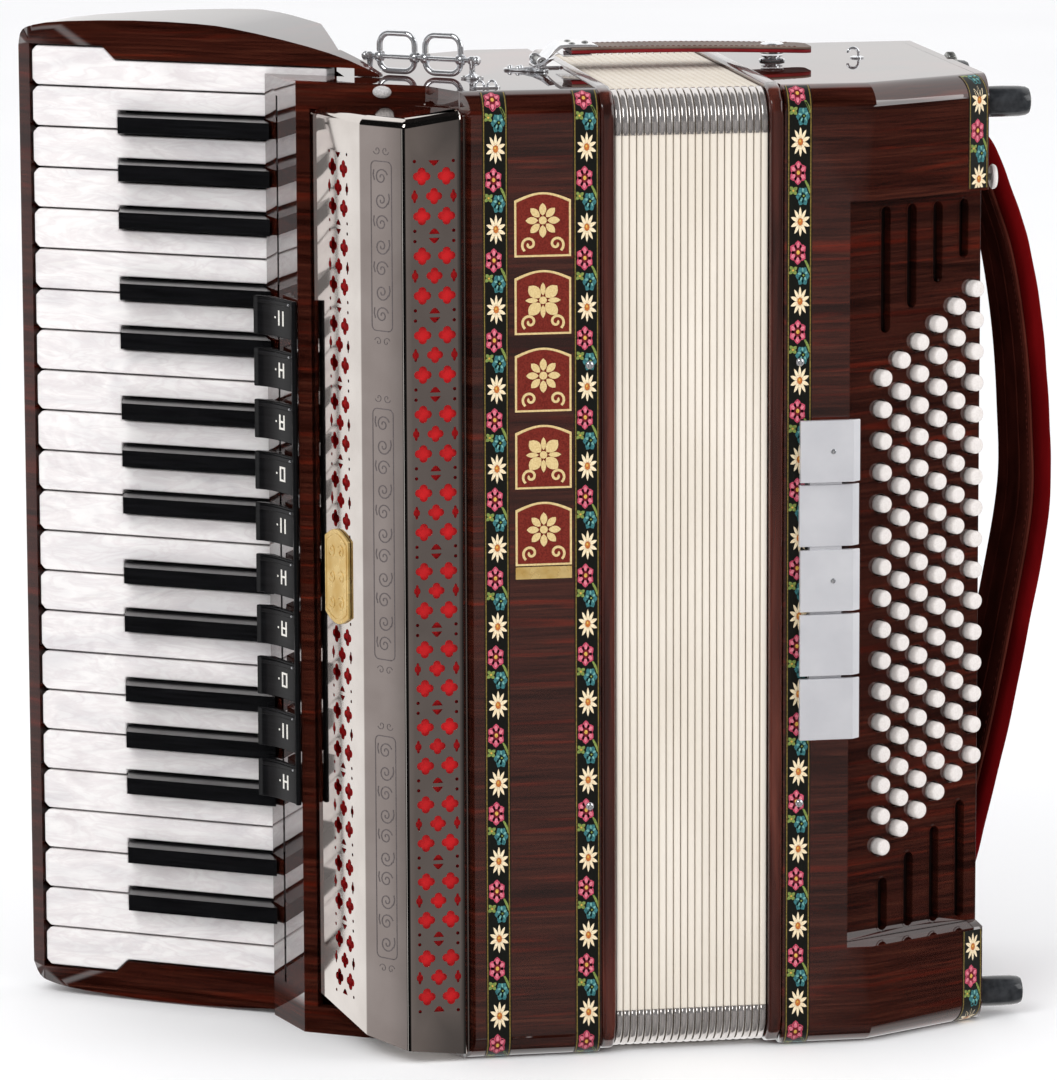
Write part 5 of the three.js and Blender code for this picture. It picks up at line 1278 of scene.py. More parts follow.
def add_plaques():
    """Five plaques one below another, each a field, its border and its ornament, and a strip below."""
    fields, borders, motifs = [], [], []

    def at_height(base):
        return lambda across, up, lift: on_panel(TREBLE_PANEL, across, up + base, lift)

    def inlay(outline, base, low, high):
        return lofted([at_height(base)(outline[:, 0], outline[:, 1], lift) for lift in (low, high)])

    for index in range(PLAQUE_COUNT):
        base = PLAQUE_BOTTOM - index * PLAQUE_PITCH
        borders.append(inlay(plaque_outline(0), base, 0.05, 0.4))
        fields.append(inlay(plaque_outline(1.0), base, 0.06, 0.55))
        shapes, lines = plaque_motif(index % 2)
        motifs += [inlay(shape, base, 0.5, 0.75) for shape in shapes]
        motifs += [stroke(line, 1.2, 0.5, 0.25, at_height(base)) for line in lines]
    wave = np.linspace(0, 1, 40)
    line = np.stack([PLAQUE_LEFT + 3 + 21 * wave, -3.4 + 1.1 * np.sin(wave * 7 * np.pi)], -1)
    strip = inlay(rectangle(PLAQUE_LEFT, -6.4, PLAQUE_RIGHT, -0.6), base, 0.05, 0.5)
    gold = [strip, stroke(line, 0.5, 0.45, 0.2, at_height(base))]
    add_piece("plaque_borders", merged(*borders), CREAM, "treble")
    add_piece("plaque_fields", merged(*fields), BRICK, "treble")
    add_piece("plaque_ornaments", merged(*motifs), CREAM, "treble")
    add_piece("plaque_strip", merged(*gold), GOLD, "treble")


# Treble register tabs

TAB_COUNT = 10
TAB_PITCH = 25.2
TAB_HEIGHT = 18.8
TAB_FIRST = 349.0

# On the key plane, as (along, out): where a tab's face starts at the rod, and how far it reaches
TAB_FOOT = (-28.4, 28.6)
TAB_REACH = (27.6, -13.8)
TAB_UNDERSIDE = ((-1.6, 12.6), (-9.4, 12.2), (-28.0, 26.9))
TAB_ROD = (-28.6, 28.6)
TAB_PIN_ALONG = -25.4
TAB_PIN = ((0.0, -0.4), (0.7, -0.4), (0.6, 0.3), (0.0, 0.5))


def tab_sag(share):
    """Depth of the tab's hollow from rod (0) to tip (1): 2.6 sin(pi t^1.5), deepest nearer the tip."""
    return 2.6 * np.sin(np.pi * np.clip(share, 0, 1) ** 1.5)


def tab_face(along, lift):
    """Out of the key plane: along a straight line from foot to tip, less the sag, plus a lift."""
    share = (np.asarray(along, float) - TAB_FOOT[0]) / TAB_REACH[0]
    return TAB_FOOT[1] + TAB_REACH[1] * share - tab_sag(share) + lift


def tab_section(steps=15):
    """Side view of a tab in key coordinates: a hollow face, and its underside along the wall."""
    along = TAB_FOOT[0] + TAB_REACH[0] * np.linspace(0, 1, steps)
    return np.concatenate([np.stack([along, tab_face(along, 0)], -1), TAB_UNDERSIDE])


def at_tab_pin(middle):
    return lambda across, up, out: on_keys(TAB_PIN_ALONG + across, middle + up,
                                           tab_face(TAB_PIN_ALONG, 0.8) + out)


def add_register_tabs():
    """Ten tabs on a rod, each with a raised rim, its white marks and a small pin."""
    section, half = tab_section(), TAB_HEIGHT / 2
    blocks, marks, pins = [], [], []

    def mark(along, up, half_along, half_up):
        edge = np.linspace(along - half_along, along + half_along, 4)
        rings = [on_keys(edge, up + side * half_up, tab_face(edge, lift))
                 for side, lift in ((-1, 0.02), (1, 0.02), (1, 0.1), (-1, 0.1))]
        marks.append(lofted(np.stack(rings, 1)))

    run = np.linspace(-27.5, -3.4, 6)
    along = np.concatenate([run, run[::-1]])
    rim = np.concatenate([tab_face(run, 0.9), tab_face(run[::-1], -0.6)])
    for index in range(TAB_COUNT):
        middle = TAB_FIRST - index * TAB_PITCH
        blocks.append(lofted([on_keys(section[:, 0], middle + up, section[:, 1]) for up in (-half, half)]))
        blocks.append(lofted([on_keys(along, middle + up, rim) for up in (half - 3.2, half - 0.9)]))
        for offset in (-20.6, -17.4):
            mark(offset, middle, 0.55, 3.6)
        kind = index % 4
        if kind in (1, 2):
            mark(-19.0, middle + 0.2, 1.2, 0.5)
        if kind in (2, 3):
            mark(-19.0, middle - 3.1, 1.6, 0.5)
        if kind == 3:
            mark(-19.0, middle + 3.1, 1.6, 0.5)
        mark(-14.6, middle, 0.45, 0.45)
        pins.append(turned(TAB_PIN, 10, at_tab_pin(middle + half - 2)))
    ends = (TAB_FIRST + half, TAB_FIRST - (TAB_COUNT - 1) * TAB_PITCH - half)
    rod = disc(on_keys(TAB_ROD[0], 0, TAB_ROD[1])[:2], 1.4, 12)
    blocks.append(plate(rod, ends))
    tabs = add_piece("register_tabs", merged(*blocks), BLACK_GLOSS, "treble_register_tabs",
                     ("treble_registers",), 30)
    bevelled(tabs, 0.5, 2, 35)
    add_piece("register_marks", merged(*marks), WHITE_PAINT, "treble_register_tabs")
    add_piece("register_pins", merged(*pins), CHROME, "treble_register_tabs")


# Button board

BUTTON_COLUMNS = 6
BUTTON_ROWS = 16
BUTTON_FIRST = 21.7
BUTTON_COLUMN_PITCH = 11.23
BUTTON_ROW_PITCH = 15.257
BUTTON_COLUMN_RISE = 7.68
BUTTON_TOP = 321.5
BUTTON_RADIUS = 4.0
BUTTON_HOLE = 4.9
BUTTON_PROUD = 5.0
SLOT_COUNT = 4
SLOT_FIRST = 24.0
SLOT_PITCH = 15.9
SLOT_STAGGER = 10.8
SLOT_WIDTH = 6.4
UPPER_SLOT = 61.5
LOWER_SLOT = 26.5

# The rounded top of a button: how far in from its side, and how far below its top
BUTTON_CROWN = ((0.0, 1.2), (0.25, 0.5), (0.7, 0.15), (1.6, 0.02), (BUTTON_RADIUS, 0.0))


def button_places():
    column, row = np.meshgrid(np.arange(BUTTON_COLUMNS), np.arange(BUTTON_ROWS), indexing="ij")
    along = BUTTON_FIRST + column * BUTTON_COLUMN_PITCH
    up = BUTTON_TOP + column * BUTTON_COLUMN_RISE - row * BUTTON_ROW_PITCH
    return np.stack([along.ravel(), up.ravel()], -1)


def at_button(place):
    return lambda across, up, out: on_board(place[0] + across, place[1] + up, out)


def button_holes():
    """Round plugs under the buttons, to be cut out of the bass cabinet."""
    plug = ((BUTTON_HOLE, -4.7), (BUTTON_HOLE, 0.5))
    return merged(*[turned(plug, 24, at_button(place)) for place in button_places()])


def add_buttons():
    profile = [(0.0, -1.0), (BUTTON_RADIUS, -1.0)]
    profile += [(BUTTON_RADIUS - inset, BUTTON_PROUD - depth) for inset, depth in BUTTON_CROWN]
    shape = merged(*[turned(profile, 24, at_button(place)) for place in button_places()])
    add_piece("pearl_buttons", shape, BUTTON_PEARL, "bass_button_set", ("bass_buttons",), 40)


def board_slots():
    slots = []
    for index in range(SLOT_COUNT):
        middle = SLOT_FIRST + index * SLOT_PITCH
        left, right = middle - SLOT_WIDTH / 2, middle + SLOT_WIDTH / 2
        high, low = RECESS[1] - 5, RECESS[0] + 2.5
        round_end = SLOT_WIDTH / 2 - 0.01
        slots.append(rounded_outline(left, high - UPPER_SLOT + index * SLOT_STAGGER, right, high, round_end))
        slots.append(rounded_outline(left, low, right, low + LOWER_SLOT + index * SLOT_STAGGER, round_end))
    return slots


def add_button_board():
    """A thin veneer on the board, pierced for buttons and sound slots, and black gauze behind the slots."""
    length = (END_X - BOARD_ROOT[0]) / math.cos(BOARD_TURN)
    outline = rectangle(0.6, RECESS[0] + 0.2, length - 0.5, RECESS[1] - 0.2)
    holes = [disc(place, BUTTON_HOLE, 24) for place in button_places()] + board_slots()
    flat, faces = pierced(outline, holes)
    veneer = add_piece("button_board", (on_board(flat[:, 0], flat[:, 1], 0.45), faces), ROSEWOOD, "bass")
    face_out(veneer, BOARD_TURN)
    thickened(veneer, 0.4)
    bevelled(veneer, 0.12, 1, 50)
    rims = [stroke(looped(slot), 0.7, 0.4, 0.35, on_board) for slot in board_slots()]
    add_piece("slot_rims", merged(*rims), ROSEWOOD, "bass")
    gauze = rectangle(3.0, RECESS[0] + 1, length - 8, RECESS[1] - 1)
    rings = [on_board(gauze[:, 0], gauze[:, 1], out) for out in (-6.0, -5.4)]
    add_piece("slot_gauze", lofted(rings), GAUZE, "bass")


# Bass register tabs and the fittings of the bass end

RIVET = ((0.0, -0.3), (1.5, -0.3), (1.2, 0.35), (0.6, 0.6), (0.0, 0.7))
RIVET_X = BASS_X + 22.5
RIVET_Y = -7.0
RIVET_HEIGHTS = (291.0, 228.8)


def add_bass_tabs():
    tabs = "bass_register_tabs"
    rounded_copy("bass_registers", "bass_register_tabs", 0.7, SATIN_CHROME, tabs, 3.0)
    rivets = [turned(RIVET, 14, at_front(RIVET_X, RIVET_Y, z)) for z in RIVET_HEIGHTS]
    add_piece("register_rivets", merged(*rivets), CHROME, tabs)


END_GAP = 0.3
FOOT_RADIUS = 7.5

# Profiles of turned pieces on the end plate, as (radius, height over the plate)
FOOT = ((0.0, 0.1), (6.6, 0.1), (7.1, 0.9), (7.4, 3.0), (FOOT_RADIUS, 9.0), (7.3, 17.0), (6.9, 20.3),
        (6.1, 21.9), (4.9, 22.4), (2.9, 22.4), (2.5, 21.9), (2.4, 19.5), (0.0, 19.5))
FOOT_SCREW = ((0.0, 19.4), (2.1, 19.4), (2.1, 20.2), (1.6, 20.9), (0.0, 21.1))
AIR_HEAD = ((0.0, 3.1), (4.6, 3.1), (5.6, 3.3), (6.0, 4.0), (5.9, 4.7), (5.3, 5.5), (3.8, 5.9), (2.4, 5.7),
            (0.0, 5.5))
AIR_STEM = ((0.0, -6.0), (1.9, -6.0), (1.9, 3.2), (0.0, 3.2))
AIR_COLLAR = ((2.4, -0.28), (4.4, -0.28), (4.4, -0.1), (4.0, 0.05), (2.4, 0.05))

# The same for the wheel, as (radius, depth of its teeth, height)
WHEEL = ((0.0, 0, 0.1), (7.6, 0, 0.1), (8.3, 0.15, 0.6), (8.65, 0.3, 1.0), (8.65, 0.3, 4.0), (8.3, 0.15, 4.4),
         (7.6, 0, 4.9), (5.4, 0, 4.9), (5.0, 0, 4.5), (3.2, 0, 4.5), (2.8, 0, 4.9), (0.0, 0, 4.9))
WHEEL_RADIUS = 9.0
WHEEL_TEETH = 30


def node_box(node):
    """The two corners of a CAD node's box, in millimetres."""
    return [(np.array(corner) - ORIGIN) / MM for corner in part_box(node)]


def at_end(y, z):
    """Places a turned piece on the bass end: its axis runs along x, out from the plate."""
    return lambda across, up, out: stacked(END_X + END_GAP + out, y + across, z + up)


def foot_places():
    low, high = node_box("end_feet")
    low, high = low + FOOT_RADIUS, high - FOOT_RADIUS
    return [(y, z) for y in (low[1], high[1]) for z in (low[2], high[2])]


def add_end_fittings():
    """Four feet with a screw in each, the air button and the strap's wheel."""
    feet, screws = [merged(*[turned(profile, sides, at_end(*place)) for place in foot_places()])
                    for profile, sides in ((FOOT, 40), (FOOT_SCREW, 16))]
    add_piece("rubber_feet", feet, RUBBER, "bass", ("end_feet",), 40)
    add_piece("foot_screws", screws, STEEL, "bass")
    add_air_button()
    add_wheel()


def add_air_button():
    """A pearl knob on a steel stem, which moves through a collar on the end plate."""
    low, high = node_box("air_button")
    place = at_end(*((low + high) / 2)[1:])
    add_piece("air_button_head", turned(AIR_HEAD, 36, place), BUTTON_PEARL, "air_button_body",
              ("air_button",), 40)
    add_piece("air_button_stem", turned(AIR_STEM, 20, place), STEEL, "air_button_body")
    collar = closed_round(turned(AIR_COLLAR, 28, place), 28)
    add_piece("air_button_collar", collar, CHROME, "bass")


def closed_round(shape, sides):
    """A turned piece whose profile is a loop: the end flats go, and its last ring meets the first."""
    points, _ = shape
    return points, grid_faces(len(points) // sides, sides, True).tolist()


def add_wheel():
    """The strap's adjusting wheel: its rim rises and falls as cos(teeth * angle), with chamfered sides."""
    low, high = node_box("strap_wheel")
    place = at_end((low[1] + high[1]) / 2, high[2] - WHEEL_RADIUS)
    angle = round_angles(WHEEL_TEETH * 8)
    rings = []
    for base, depth, out in WHEEL:
        radius = base + depth * np.cos(WHEEL_TEETH * angle)
        rings.append(place(radius * np.cos(angle), radius * np.sin(angle), out))
    add_piece("adjusting_wheel", lofted(rings), STEEL, "strap_wheel_body", ("strap_wheel",), 35)


# Hand strap

STRAP_TOP = 434.0
STRAP_BOTTOM = 57.0
STRAP_BULGE = 39.0
STRAP_FRONT = 75.0
STRAP_WIDTH = 75.0
STRAP_THICKNESS = 13.0
STRAP_MIDDLE = STRAP_FRONT + STRAP_WIDTH / 2
STRAP_STEPS = 130

# The strap's arch, as (share of its height from the top, share of its bulge)
STRAP_SHARES = ((0, 0), (0.035, 0.28), (0.1, 0.53), (0.17, 0.74), (0.28, 0.91), (0.39, 0.99), (0.5, 1),
                (0.65, 0.76), (0.8, 0.47), (0.93, 0.17), (1, 0))

# A stitch, as (run along the strap, height), and how far its thread reaches from its middle
STITCH = ((-1.0, 0.05), (-0.5, -0.1), (0.5, -0.1), (1.0, 0.05))
THREAD_RADIUS = 0.22


def strap_line(steps):
    """The strap's middle line through its shares, and its outward side.

    Between points b and c, with neighbours a and d, it is the cubic with the slopes (c - a)/2 and
    (d - b)/2 at its ends, as in the CAD model."""
    shares = np.array(STRAP_SHARES, float)
    knots = np.stack([END_X + END_GAP + shares[:, 1] * STRAP_BULGE,
                      STRAP_TOP - shares[:, 0] * (STRAP_TOP - STRAP_BOTTOM)], -1)
    place = np.linspace(0, len(knots) - 1, steps)
    index = np.minimum(place.astype(int), len(knots) - 2)
    t = (place - index)[:, None]
    a, b, c = knots[np.maximum(index - 1, 0)], knots[index], knots[index + 1]
    d = knots[np.minimum(index + 2, len(knots) - 1)]
    first, second = (c - a) / 2, (d - b) / 2
    cubic, square = 2 * (b - c) + first + second, 3 * (c - b) - 2 * first - second
    line = ((cubic * t + square) * t + first) * t + b
    ahead = np.gradient(line, axis=0)
    ahead /= np.linalg.norm(ahead, axis=1, keepdims=True)
    out = np.stack([-ahead[:, 1], ahead[:, 0]], -1)
    out[0], out[-1] = (0, 1), (0, -1)
    return line, out


def strap_rings(section, steps, bumps=None):
    """Sections (across from the middle, height from the middle line) carried along the strap."""
    line, out = strap_line(steps)
    across, height = np.asarray(section, float).T
    height = np.broadcast_to(height, (steps, len(across)))
    if bumps is not None:
        height = height + bumps(np.linspace(0, 1, steps)[:, None], across[None, :], height)
    x = np.maximum(line[:, :1] + out[:, :1] * height, END_X + END_GAP + 0.05)
    z = line[:, 1:] + out[:, 1:] * height
    return stacked(x, STRAP_MIDDLE + across[None, :], z)


def cushion_section(steps=56):
    """A soft band: |across/a|^5 + |height/b|^2.4 = 1, so its front and back edges are round."""
    cosine, sine = np.cos(round_angles(steps)), np.sin(round_angles(steps))
    across = (STRAP_WIDTH / 2 - 0.4) * np.sign(cosine) * np.abs(cosine) ** (2 / 5)
    height = (STRAP_THICKNESS / 2 - 0.5) * np.sign(sine) * np.abs(sine) ** (2 / 2.4)
    return np.stack([across, height], -1)


def cushion_bumps(run, across, height):
    """Two sewn hollows along the outside, and faint waves that die out towards the lined side."""
    crown = smoothstep((height - 1) / 3)
    quilt = -1.3 * (np.exp(-((across - 15) / 3.2) ** 2) + np.exp(-((across + 15) / 3.2) ** 2))
    waves = 0.12 * np.sin(run * 46 + across * 0.09) + 0.08 * np.sin(run * 97 - across * 0.16 + 1.3)
    return crown * (quilt + waves)


def add_hand_strap():
    """A velvet pad, and on its inner side a leather lining with piping and two rows of stitches."""
    pad = lofted(strap_rings(cushion_section(), STRAP_STEPS, cushion_bumps))
    cushion = add_piece("velvet_pad", pad, VELVET, "bass", ("hand_strap",), 60)
    softer = cushion.modifiers.new("soft", "SUBSURF")
    softer.levels = softer.render_levels = 1
    half, low = STRAP_WIDTH / 2 - 4.5, -STRAP_THICKNESS / 2 + 0.1
    lining = [(-half, low + 0.6), (-half + 0.6, low), (half - 0.6, low), (half, low + 0.6), (half, low + 2.0),
              (-half, low + 2.0)]
    add_piece("strap_lining", lofted(strap_rings(lining, 90)), STRAP_LEATHER, "bass", (), 40)
    cord = disc((0, 0), 0.75, 10)
    seams = ((-half - 0.5, low + 1.1), (-12.0, low + 0.1), (12.0, low + 0.1), (half + 0.5, low + 1.1))
    piping = [lofted(strap_rings(cord + seam, 90)) for seam in seams]
    line, out = strap_line(STRAP_STEPS)
    stitches = [stitch(line[index], out[index], side * (half - 3), low)
                for side in (-1, 1) for index in range(6, STRAP_STEPS - 6)]
    add_piece("strap_piping", merged(*piping), STRAP_LEATHER, "bass", (), 50)
    add_piece("strap_stitches", merged(*stitches), THREAD, "bass", (), 50)


def stitch(place, out, across, low):
    """One short thread on the lining, along the strap."""
    ahead = np.array([out[1], -out[0]])
    turn = round_angles(6)
    rings = []
    for run, lift in STITCH:
        centre = place + ahead * run + out * (low + lift)
        rise = THREAD_RADIUS * np.cos(turn)
        rings.append(stacked(centre[0] + out[0] * rise, STRAP_MIDDLE + across + THREAD_RADIUS * np.sin(turn),
                             centre[1] + out[1] * rise))
    return lofted(rings)


# Strap over the bellows and the fittings on the tops

TIE_LEFT = 62.0
TIE_RIGHT = 181.0
TIE_FRONT = 105.0
TIE_BACK = 130.0
TIE_SPAN = (46.0, 183.0)
TIE_LIFT = (6.4, 4.4)
TIE_MIDDLE = (TIE_FRONT + TIE_BACK) / 2
TIE_ROUND = 6.0
SNAP_X = 163.0

# Round pieces of the strap and its fittings, as (radius, height)
SNAP_CAP = ((0.0, 2.9), (5.4, 2.9), (5.7, 3.2), (5.0, 3.8), (2.9, 4.3), (0.0, 4.45))
SNAP_SOCKET = ((0.0, 0.1), (5.4, 0.1), (5.9, -0.3), (5.9, -1.0), (5.2, -1.5), (0.0, -1.6))
SNAP_STUD = ((0.0, 0.05), (6.2, 0.05), (6.4, 0.5), (6.2, 1.0), (5.0, 1.3), (4.2, 1.5), (4.2, 2.0), (5.3, 2.3),
             (5.3, 2.9), (0.0, 3.1))
CLASP_RIVET = ((0.0, 4.3), (1.7, 4.3), (1.7, 4.6), (1.1, 5.1), (0.0, 5.3))
CLASP_PIN = ((0.0, -12.6), (1.1, -12.6), (1.3, -12.2), (1.3, 12.2), (1.1, 12.6), (0.0, 12.6))

# The clasp's folded plate seen from the front, as (x, height over the strap's lower face)
CLASP_FOLD = ((49.5, -2.6), (51.0, -0.8), (53.5, 2.2), (56.5, 4.3), (60.0, 4.6), (71.5, 4.4), (74.5, 4.0),
              (75.3, 3.2), (74.0, 3.1), (60.0, 3.1), (57.0, 2.6), (54.2, 0.6), (51.5, -1.8), (50.3, -3.0))
CLASP_UNDER = ((58.0, -1.3), (72.0, -1.0), (72.0, -0.2), (58.0, -0.4))
CLASP_HALF = 11.5
CLASP_HINGE_X = 47.6


def tie_lift(x):
    """Height of the strap's lower face over the cabinet: a straight fall plus sin(pi t)."""
    run = (np.asarray(x, float) - TIE_SPAN[0]) / (TIE_SPAN[1] - TIE_SPAN[0])
    fall = TIE_LIFT[0] + (TIE_LIFT[1] - TIE_LIFT[0]) * run
    return CABINET_HEIGHT + fall + np.sin(np.pi * np.clip(run, 0, 1))


def add_bellows_strap():
    """Leather over the bellows, rounded at its loose end, its cut edges painted red."""
    end = TIE_RIGHT - TIE_ROUND
    tip = end + TIE_ROUND * np.sin(np.linspace(0.1, np.pi / 2, 10))
    x = np.concatenate([np.linspace(TIE_LEFT, end, 44), tip])
    taper = np.sqrt(np.clip(1 - (np.maximum(x - end, 0) / TIE_ROUND) ** 2, 0.004, 1))
    half = (TIE_BACK - TIE_FRONT) / 2 * (0.55 + 0.45 * taper)
    half[-1] = half[-2] * 0.9

    def band(inset, low, high):
        corners = ((-1, low + 0.4), (-0.97, low), (0.97, low), (1, low + 0.4), (1, high - 0.5), (0.96, high),
                   (-0.96, high), (-1, high - 0.5))
        wide = half - inset
        rings = [stacked(x, TIE_MIDDLE + wide * side, tie_lift(x) + lift) for side, lift in corners]
        return lofted(np.stack(rings, 1))

    body = "bellows_strap_body"
    add_piece("tie_core", band(0.15, 0.0, 1.9), RED_EDGE, body, ("bellows_strap",), 40)
    add_piece("tie_top", band(0.0, 1.7, 3.0), TIE_LEATHER, body, (), 40)
    turn = round_angles(6)[None, :]
    arch = np.array([2.95, 3.08, 3.08, 2.95])[:, None]
    stitches = []
    for side in (-1, 1):
        for start in np.arange(TIE_LEFT + 6, TIE_RIGHT - 8, 2.6):
            run = start + np.array([-0.8, -0.3, 0.3, 0.8])[:, None]
            y = TIE_MIDDLE + side * 10.6 + 0.2 * np.cos(turn)
            stitches.append(lofted(stacked(run, y, tie_lift(run) + arch + 0.2 * np.sin(turn))))
    add_piece("tie_stitches", merged(*stitches), THREAD, body, (), 50)
    add_snap()
    add_clasp()


def add_snap():
    """Press stud at the loose end: socket under the strap, cap on it, and the stud on the bass cabinet."""
    place = upright_at(SNAP_X, TIE_MIDDLE, float(tie_lift(SNAP_X)))
    cap = merged(*[turned(profile, 28, place) for profile in (SNAP_CAP, SNAP_SOCKET)])
    stud = turned(SNAP_STUD, 28, upright_at(SNAP_X, TIE_MIDDLE, CABINET_HEIGHT))
    add_piece("snap_cap", cap, CHROME, "bellows_strap_body", (), 40)
    add_piece("snap_stud", stud, CHROME, "bass", (), 40)


def add_clasp():
    """The hinge clasp at the strap's fixed end: folded plate, rolled pin, ears and a base on the cabinet."""
    low = float(tie_lift(TIE_LEFT))
    span = (TIE_MIDDLE - CLASP_HALF, TIE_MIDDLE + CLASP_HALF)
    plates = [crossbar(np.array(outline) + (0, low), span) for outline in (CLASP_FOLD, CLASP_UNDER)]
    clasp = add_piece("clasp_fold", merged(*plates), CHROME, "bellows_strap_body", (), 35)
    bevelled(clasp, 0.3, 2, 40)
    heads = [turned(CLASP_RIVET, 14, upright_at(x, TIE_MIDDLE + side, low))
             for x, side in ((63.0, -6.5), (63.0, 6.5), (70.5, 0.0))]
    add_piece("clasp_rivets", merged(*heads), STEEL, "bellows_strap_body", (), 40)
    base = rounded_outline(44.6, TIE_MIDDLE - 12.5, 57.5, TIE_MIDDLE + 12.5, 2.5)
    ear = disc((CLASP_HINGE_X, CABINET_HEIGHT + 2.8), 2.6, 20)
    ear[:, 1] = np.maximum(ear[:, 1], CABINET_HEIGHT + 0.4)
    parts = [plate(base, (CABINET_HEIGHT + 0.05, CABINET_HEIGHT + 1.05))]
    parts += [crossbar(ear, (TIE_MIDDLE + side, TIE_MIDDLE + side + 2.0)) for side in (-11.9, 9.9)]
    hinge = add_piece("clasp_base", merged(*parts), CHROME, "treble", (), 35)
    bevelled(hinge, 0.25, 2, 40)

    def at_hinge(across, up, out):
        return stacked(CLASP_HINGE_X + across, TIE_MIDDLE + out, CABINET_HEIGHT + 2.9 + up)

    add_piece("clasp_pin", turned(CLASP_PIN, 16, at_hinge), STEEL, "treble", (), 35)


def wire(path, side, radius, sides=12, closed=False):
    """A round wire along a line that lies in a plane square to side."""
    path, side = np.asarray(path, float), np.asarray(side, float)
    if closed:
        ahead = np.roll(path, -1, 0) - np.roll(path, 1, 0)
    else:
        ahead = np.gradient(path, axis=0)
    ahead /= np.linalg.norm(ahead, axis=1, keepdims=True)
    across = np.cross(ahead, side)
    turn = round_angles(sides)[None, :, None]
    rings = path[:, None] + radius * (np.cos(turn) * across[:, None] + np.sin(turn) * side)
    return lofted(rings, not closed, closed)


BRACKET_ROOT = (-40.0, 102.0)
BRACKET_TURN = math.radians(-38)
ROD_RISE = 8.6
ROD_LENGTH = 63.0
POST_PLACES = (3.6, ROD_LENGTH - 3.6)
LOOPS = (("left", 18.5), ("right", 43.5))
LOOP_HALF = 9.6

# Round pieces of the bracket, as (radius, height): one end of the rod, a post, a screw and a loop's eye
ROD_END = ((0.0, -0.6), (1.3, -0.5), (2.1, 0.2), (2.4, 1.2), (2.1, 2.2), (1.3, 2.8), (1.2, 4.0))
POST = ((0.0, 0.4), (3.6, 0.4), (3.6, 1.1), (2.6, 1.7), (1.6, 2.4), (1.35, 4.0), (1.5, 6.5), (2.3, 7.6),
        (2.3, 9.8), (1.6, 10.6), (0.0, 10.8))
POST_SCREW = ((0.0, 0.85), (1.0, 0.85), (0.8, 1.2), (0.0, 1.35))
LOOP_EYE = ((1.35, -1.7), (2.4, -1.7), (2.7, -1.2), (2.7, 1.2), (2.4, 1.7), (1.35, 1.7))


def at_bracket(along, across, up):
    """Point by the shoulder strap's bracket: along its rod, across it, and over the cabinet's top."""
    up = CABINET_HEIGHT + np.asarray(up, float)
    return on_line(BRACKET_ROOT, BRACKET_TURN, along, up, -np.asarray(across, float))


def along_rod(start=0.0):
    """Places a turned piece whose axis is the rod's."""
    return lambda across, side, out: at_bracket(start + out, across, ROD_RISE + side)


def by_rod(start):
    """Places a turned piece whose axis stands up under the rod."""
    return lambda along, across, out: at_bracket(start + along, across, out)


def add_shoulder_bracket():
    """A rod on two posts with round feet and screws, and on it two wire loops that turn on their eyes."""
    far_end = [(radius, ROD_LENGTH - height) for radius, height in reversed(ROD_END)]
    parts = [turned(ROD_END + tuple(far_end), 20, along_rod())]
    for along in POST_PLACES:
        parts.append(turned(POST, 20, by_rod(along)))
        foot = rounded_outline(along - 5.5, -3.6, along + 5.5, 3.6, 3.2)
        parts.append(lofted([at_bracket(foot[:, 0], foot[:, 1], up) for up in (0.1, 0.5, 0.9)]))
    add_piece("bracket_rod", merged(*parts), CHROME, "treble", ("shoulder_bracket",), 40)
    screws = [turned(POST_SCREW, 12, by_rod(along + side)) for along in POST_PLACES for side in (-4.2, 4.2)]
    add_piece("bracket_screws", merged(*screws), STEEL, "treble", (), 40)
    side = np.array([-math.sin(BRACKET_TURN), math.cos(BRACKET_TURN), 0.0])
    outline = rounded_outline(-LOOP_HALF, -6.8, LOOP_HALF, 11.3, 5.4, 8)
    for name, middle in LOOPS:
        path = at_bracket(middle + outline[:, 0], 0.0, ROD_RISE + outline[:, 1])
        eyes = [closed_round(turned(LOOP_EYE, 20, along_rod(middle + edge)), 20)
                for edge in (-LOOP_HALF, LOOP_HALF)]
        add_piece("loop_" + name + "_wire", merged(wire(path, side, 1.5, 14, True), *eyes), CHROME,
                  "loop_" + name, ("shoulder_loop_" + name,), 40)


LATCH_START = (31.0, 101.0)
LATCH_END = (49.6, 87.0)
LATCH_TURN = math.atan2(LATCH_END[1] - LATCH_START[1], LATCH_END[0] - LATCH_START[0])
LATCH_TONGUE = ((0.0, 1.2), (7.0, 1.6), (13.0, 2.6), (18.0, 4.4), (22.0, 6.8), (23.2, 6.4), (19.0, 3.4),
                (13.5, 1.5), (7.0, 0.7), (0.0, 0.7))
LATCH_SCREW = ((0.0, 1.0), (1.5, 1.0), (1.4, 1.9), (0.9, 2.4), (0.0, 2.6))
LATCH_SCREW_PLACES = ((0.0, 0.0), (5.0, -1.4), (5.0, 1.4))
HOOK_Y = 122.4
HOOK_FOOT = ((0.0, 0.05), (3.4, 0.05), (3.4, 0.6), (2.2, 1.0), (0.0, 1.1))
PANEL_PIN = ((0.0, -0.2), (1.9, -0.2), (2.0, 0.5), (1.6, 1.1), (0.9, 1.5), (0.0, 1.6))
TREBLE_PINS = ((51.4, 334.7), (51.0, 122.6))
BASS_PINS = ((152.5, 333.2), (152.7, 120.0))
BEAD_PLACE = (-38.9, 49.6, 460.3)
BEAD_WAY = (0.852, -0.523)
BEAD_AXES = (4.8, 2.8, 3.0)


def by_latch(run, side, up):
    """Point by the latch: along it, across it, and over the cabinet's top."""
    up = CABINET_HEIGHT + np.asarray(up, float)
    return on_line(LATCH_START, LATCH_TURN, run, up, -np.asarray(side, float))


def at_latch(run, side):
    """Places a turned piece whose axis stands up on the latch."""
    return lambda along, across, out: by_latch(run + along, side + across, out)


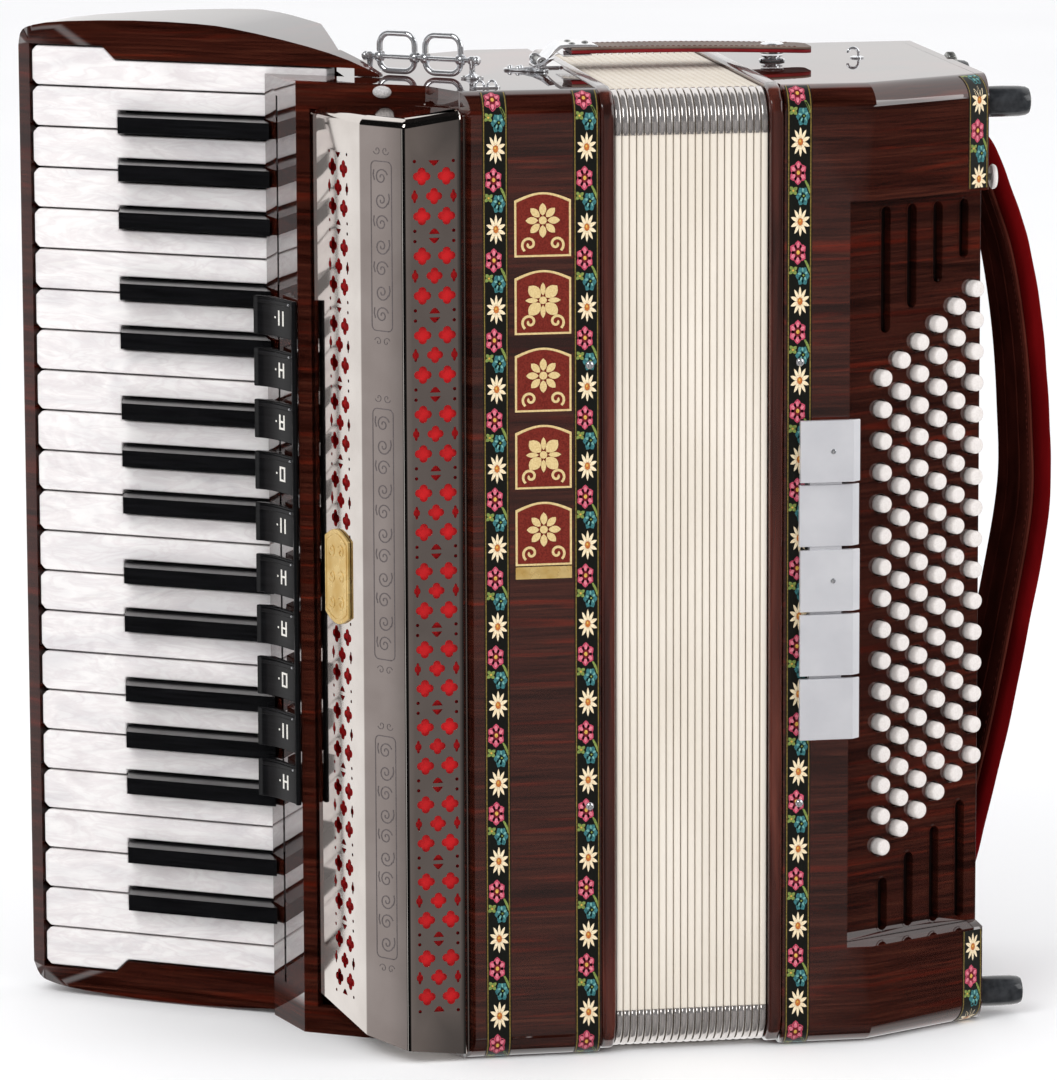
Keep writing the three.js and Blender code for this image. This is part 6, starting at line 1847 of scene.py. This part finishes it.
def add_top_fittings():
    """Latch, small loops and hook on the tops of the cabinets, the frame's bead and the panels' pins."""
    top = CABINET_HEIGHT
    base = rounded_outline(-3.0, -4.4, math.dist(LATCH_START, LATCH_END) - 3, 4.4, 4.2)
    tongue = np.array(LATCH_TONGUE)
    latch = [lofted([by_latch(base[:, 0], base[:, 1], up) for up in (0.1, 0.5, 1.1)]),
             lofted([by_latch(tongue[:, 0], side, tongue[:, 1]) for side in (-2.6, 2.6)])]
    piece = add_piece("latch_plate", merged(*latch), CHROME, "treble", (), 35)
    bevelled(piece, 0.3, 2, 40)
    small = [turned(LATCH_SCREW, 14, at_latch(*place)) for place in LATCH_SCREW_PLACES]
    arch = np.linspace(0, np.pi, 15)
    for x in (3.4, 9.2):
        path = stacked(x + 2.2 * np.cos(arch), 22.6, top + 0.3 + 3.1 * np.sin(arch))
        small.append(wire(path, (0, 1, 0), 0.65, 10))
    small.append(plate(rounded_outline(-0.6, 20.4, 13.2, 24.8, 2.1), (top + 0.05, top + 0.75)))
    add_piece("treble_top_chrome", merged(*small), CHROME, "treble", (), 40)
    bend = np.linspace(-0.2, np.pi, 16)
    path = np.concatenate([stacked(207.2, HOOK_Y, [top + 0.2, top + 1.6]),
                           stacked(204.5 + 2.7 * np.cos(bend), HOOK_Y, top + 2.6 + 2.4 * np.sin(bend))])
    hook = merged(wire(path, (0, 1, 0), 0.75, 10), turned(HOOK_FOOT, 20, upright_at(206.4, HOOK_Y, top)))
    add_piece("bass_top_hook", hook, CHROME, "bass", (), 40)
    add_piece("frame_bead", bead(), STONE, "treble", (), 60)
    add_piece("panel_pins", panel_pins(TREBLE_PINS), CHROME, "treble", (), 40)
    add_piece("bass_panel_pins", panel_pins(BASS_PINS), CHROME, "bass", (), 40)


def bead():
    """An oval stone on the frame's upper rail, with its half axes along the rail, out of it and up."""
    level = np.linspace(-np.pi / 2, np.pi / 2, 13)[:, None]
    turn = round_angles(24)[None, :]
    along = BEAD_AXES[0] * np.cos(level) * np.cos(turn)
    out = BEAD_AXES[1] * np.sin(level) * np.ones_like(turn)
    up = BEAD_AXES[2] * np.cos(level) * np.sin(turn)
    x = BEAD_PLACE[0] + BEAD_WAY[0] * along + BEAD_WAY[1] * out
    y = BEAD_PLACE[1] + BEAD_WAY[1] * along - BEAD_WAY[0] * out
    return lofted(stacked(x, y, BEAD_PLACE[2] + up))


def panel_pins(places):
    return merged(*[turned(PANEL_PIN, 18, at_front(x, 0.0, z)) for x, z in places])


set_camera()
set_stage()
dress_cabinets()
dress_keys()
add_bellows()
add_bellows_corners()
add_grille()
add_grille_scrolls()
add_badge()
add_ribbons()
add_plaques()
add_register_tabs()
add_buttons()
add_button_board()
add_bass_tabs()
add_end_fittings()
add_hand_strap()
add_bellows_strap()
add_shoulder_bracket()
add_top_fittings()
